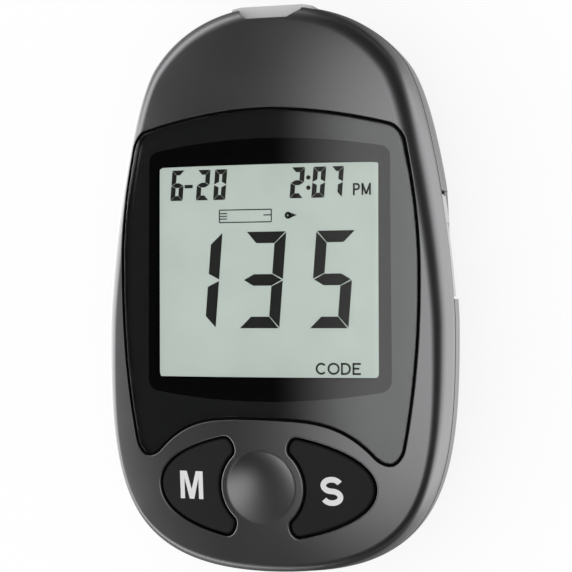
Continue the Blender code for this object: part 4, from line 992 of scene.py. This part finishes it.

# %% [markdown]
# The studio: a pale floor, a broad soft sun from above, and a tent that only gloss sees. The
# floor also glows for gloss rays, like white cards round the table, with a painted shadow next to
# the meter where that glow is dimmed. The tent is dark round the sides and bright overhead, like
# black cards beside a table and a softbox above it. It gives the dome its slow turn from black to grey.


# %% Floor and lamps
def studio_floor():
    floor = block("floor", (-3, -3, -0.02), (3, 3, -0.00002))
    white = Recipe("floor_white", Roughness=0.9)
    speck = white.noise(0.4, 2)
    white.set("Base Color", white.tint(speck, (0.93, 0.93, 0.93), (0.95, 0.95, 0.95)))
    white.set("Specular IOR Level", 0.0)
    path = white.node("ShaderNodeLightPath")
    glossy = Value(white, path.socket.node.outputs["Is Glossy Ray"])
    seen = Value(white, path.socket.node.outputs["Is Camera Ray"])
    x, y, z = white.axes()
    # The floor glows for gloss rays only, like a reflector card. Painted shadow: that glow is dimmed
    # next to the meter, where the floor lies in its shadow.
    under = x.step(-5 * mm, 5 * mm) * (1 - x.step(27 * mm, 33 * mm))
    sides = 1.6 + (1 - x.step(-30 * mm, -10 * mm)) * 1.3 - under * 0.85 - x.step(40 * mm, 100 * mm) * 1.6
    level = sides * (1 - y.step(36 * mm, 50 * mm) * 0.88) * (0.12 + y.step(-50 * mm, -38 * mm) * 0.88)
    shine = white.node("ShaderNodeEmission", inputs={"Strength": level})
    page = white.node("ShaderNodeEmission", inputs={"Strength": 1.0})
    lit = white.node("ShaderNodeMixShader", inputs=[seen * 0.85, white.principled(), page])
    white.surface(white.node("ShaderNodeMixShader", inputs=[glossy, lit, shine]))
    floor.data.materials.append(white.material)
    floor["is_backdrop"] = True


def tent():
    work = bmesh.new()
    bmesh.ops.create_uvsphere(work, u_segments=48, v_segments=24, radius=2)
    bmesh.ops.delete(work, geom=[v for v in work.verts if v.co.z < -0.01], context="VERTS")
    mesh = bpy.data.meshes.new("tent")
    work.to_mesh(mesh)
    work.free()
    item = bpy.data.objects.new("tent", mesh)
    bpy.context.scene.collection.objects.link(item)
    look = Recipe("tent_light")
    x, y, z = look.axes()
    side = look.node("ShaderNodeMath", {"operation": "ARCTAN2"}, [x, z])
    along = look.node("ShaderNodeMath", {"operation": "ARCTAN2"}, [y, z])
    box = side.step(-16.5 * deg, 6 * deg) * (1 - side.step(20 * deg, 62 * deg))
    ends = (1 - along.step(14 * deg, 44 * deg)) * along.step(-40 * deg, -6 * deg)
    left = (1 - side.step(-74 * deg, -49 * deg)) * 2.3
    box = box * (1.3 + side.step(9 * deg, 17 * deg) * 0.28)
    glow = look.node("ShaderNodeEmission", inputs={"Strength": box * ends + left + 0.024})
    look.surface(glow)
    mesh.materials.append(look.material)
    for way in ("camera", "diffuse", "transmission", "volume_scatter", "shadow"):
        setattr(item, "visible_" + way, False)
    item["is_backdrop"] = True


def sun():
    data = bpy.data.lights.new("soft_sun", "SUN")
    data.energy = 1.75
    data.angle = 110 * deg
    item = bpy.data.objects.new("soft_sun", data)
    item.rotation_euler = (8 * deg, -14 * deg, 0)
    item.visible_glossy = False
    bpy.context.scene.collection.objects.link(item)


def sky():
    world = bpy.data.worlds.new("studio")
    world.use_nodes = True
    bpy.context.scene.world = world
    tree = world.node_tree
    ground = tree.nodes["Background"]
    path = tree.nodes.new("ShaderNodeLightPath")
    seen = tree.nodes.new("ShaderNodeMath")
    seen.operation = "MAXIMUM"
    tree.links.new(path.outputs["Is Camera Ray"], seen.inputs[0])
    tree.links.new(path.outputs["Is Glossy Ray"], seen.inputs[1])
    level = tree.nodes.new("ShaderNodeMapRange")
    level.inputs["To Min"].default_value = 0.5
    tree.links.new(seen.outputs[0], level.inputs["Value"])
    tree.links.new(level.outputs[0], ground.inputs["Strength"])
    ground.inputs["Color"].default_value = (1, 1, 1, 1)


studio_floor()
tent()
sun()
sky()
bpy.context.scene.view_settings.view_transform = "Standard"

# %% [markdown]
# The pieces that the model already shapes well keep their meshes and take a finish.

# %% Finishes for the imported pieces
finishes = {
    graphite: ["battery_cover"],
    display_grey: ["lcd_front_glass", "lcd_rear_glass"],
    inner_white: ["lcd_reflector", "lcd_frame"],
    rubber_grey: ["zebra_strip_upper", "zebra_strip_lower"],
    steel: ["clock_crystal", "battery_contact_negative", "battery_contact_positive"],
    screw_steel: [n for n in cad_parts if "_screw_" in n],
    board_green: ["main_board"],
    inner_black: ["microcontroller", "memory_chip", "buzzer", "strip_connector", "code_chip_socket",
                  "data_jack"],
    port_grey: ["strip_port"],
    gold: ["strip_contact_1", "strip_contact_2", "strip_contact_3"],
    key_black: ["strip_ejector"],
    chip_white: ["code_chip"],
    cell_can: ["coin_cell"],
}
for material, names in finishes.items():
    for name in names:
        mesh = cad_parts[name].data
        mesh.materials.clear()
        mesh.materials.append(material)
print("nodes with a finish:", sum(map(len, finishes.values())))

# %% How far the new meshes reach past the imported ones
new_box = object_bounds()
growth = [round((b - a) / mm, 3) for cad, new in zip(cad_box, new_box) for a, b in zip(cad, new)]
print("grown by in mm:", growth)
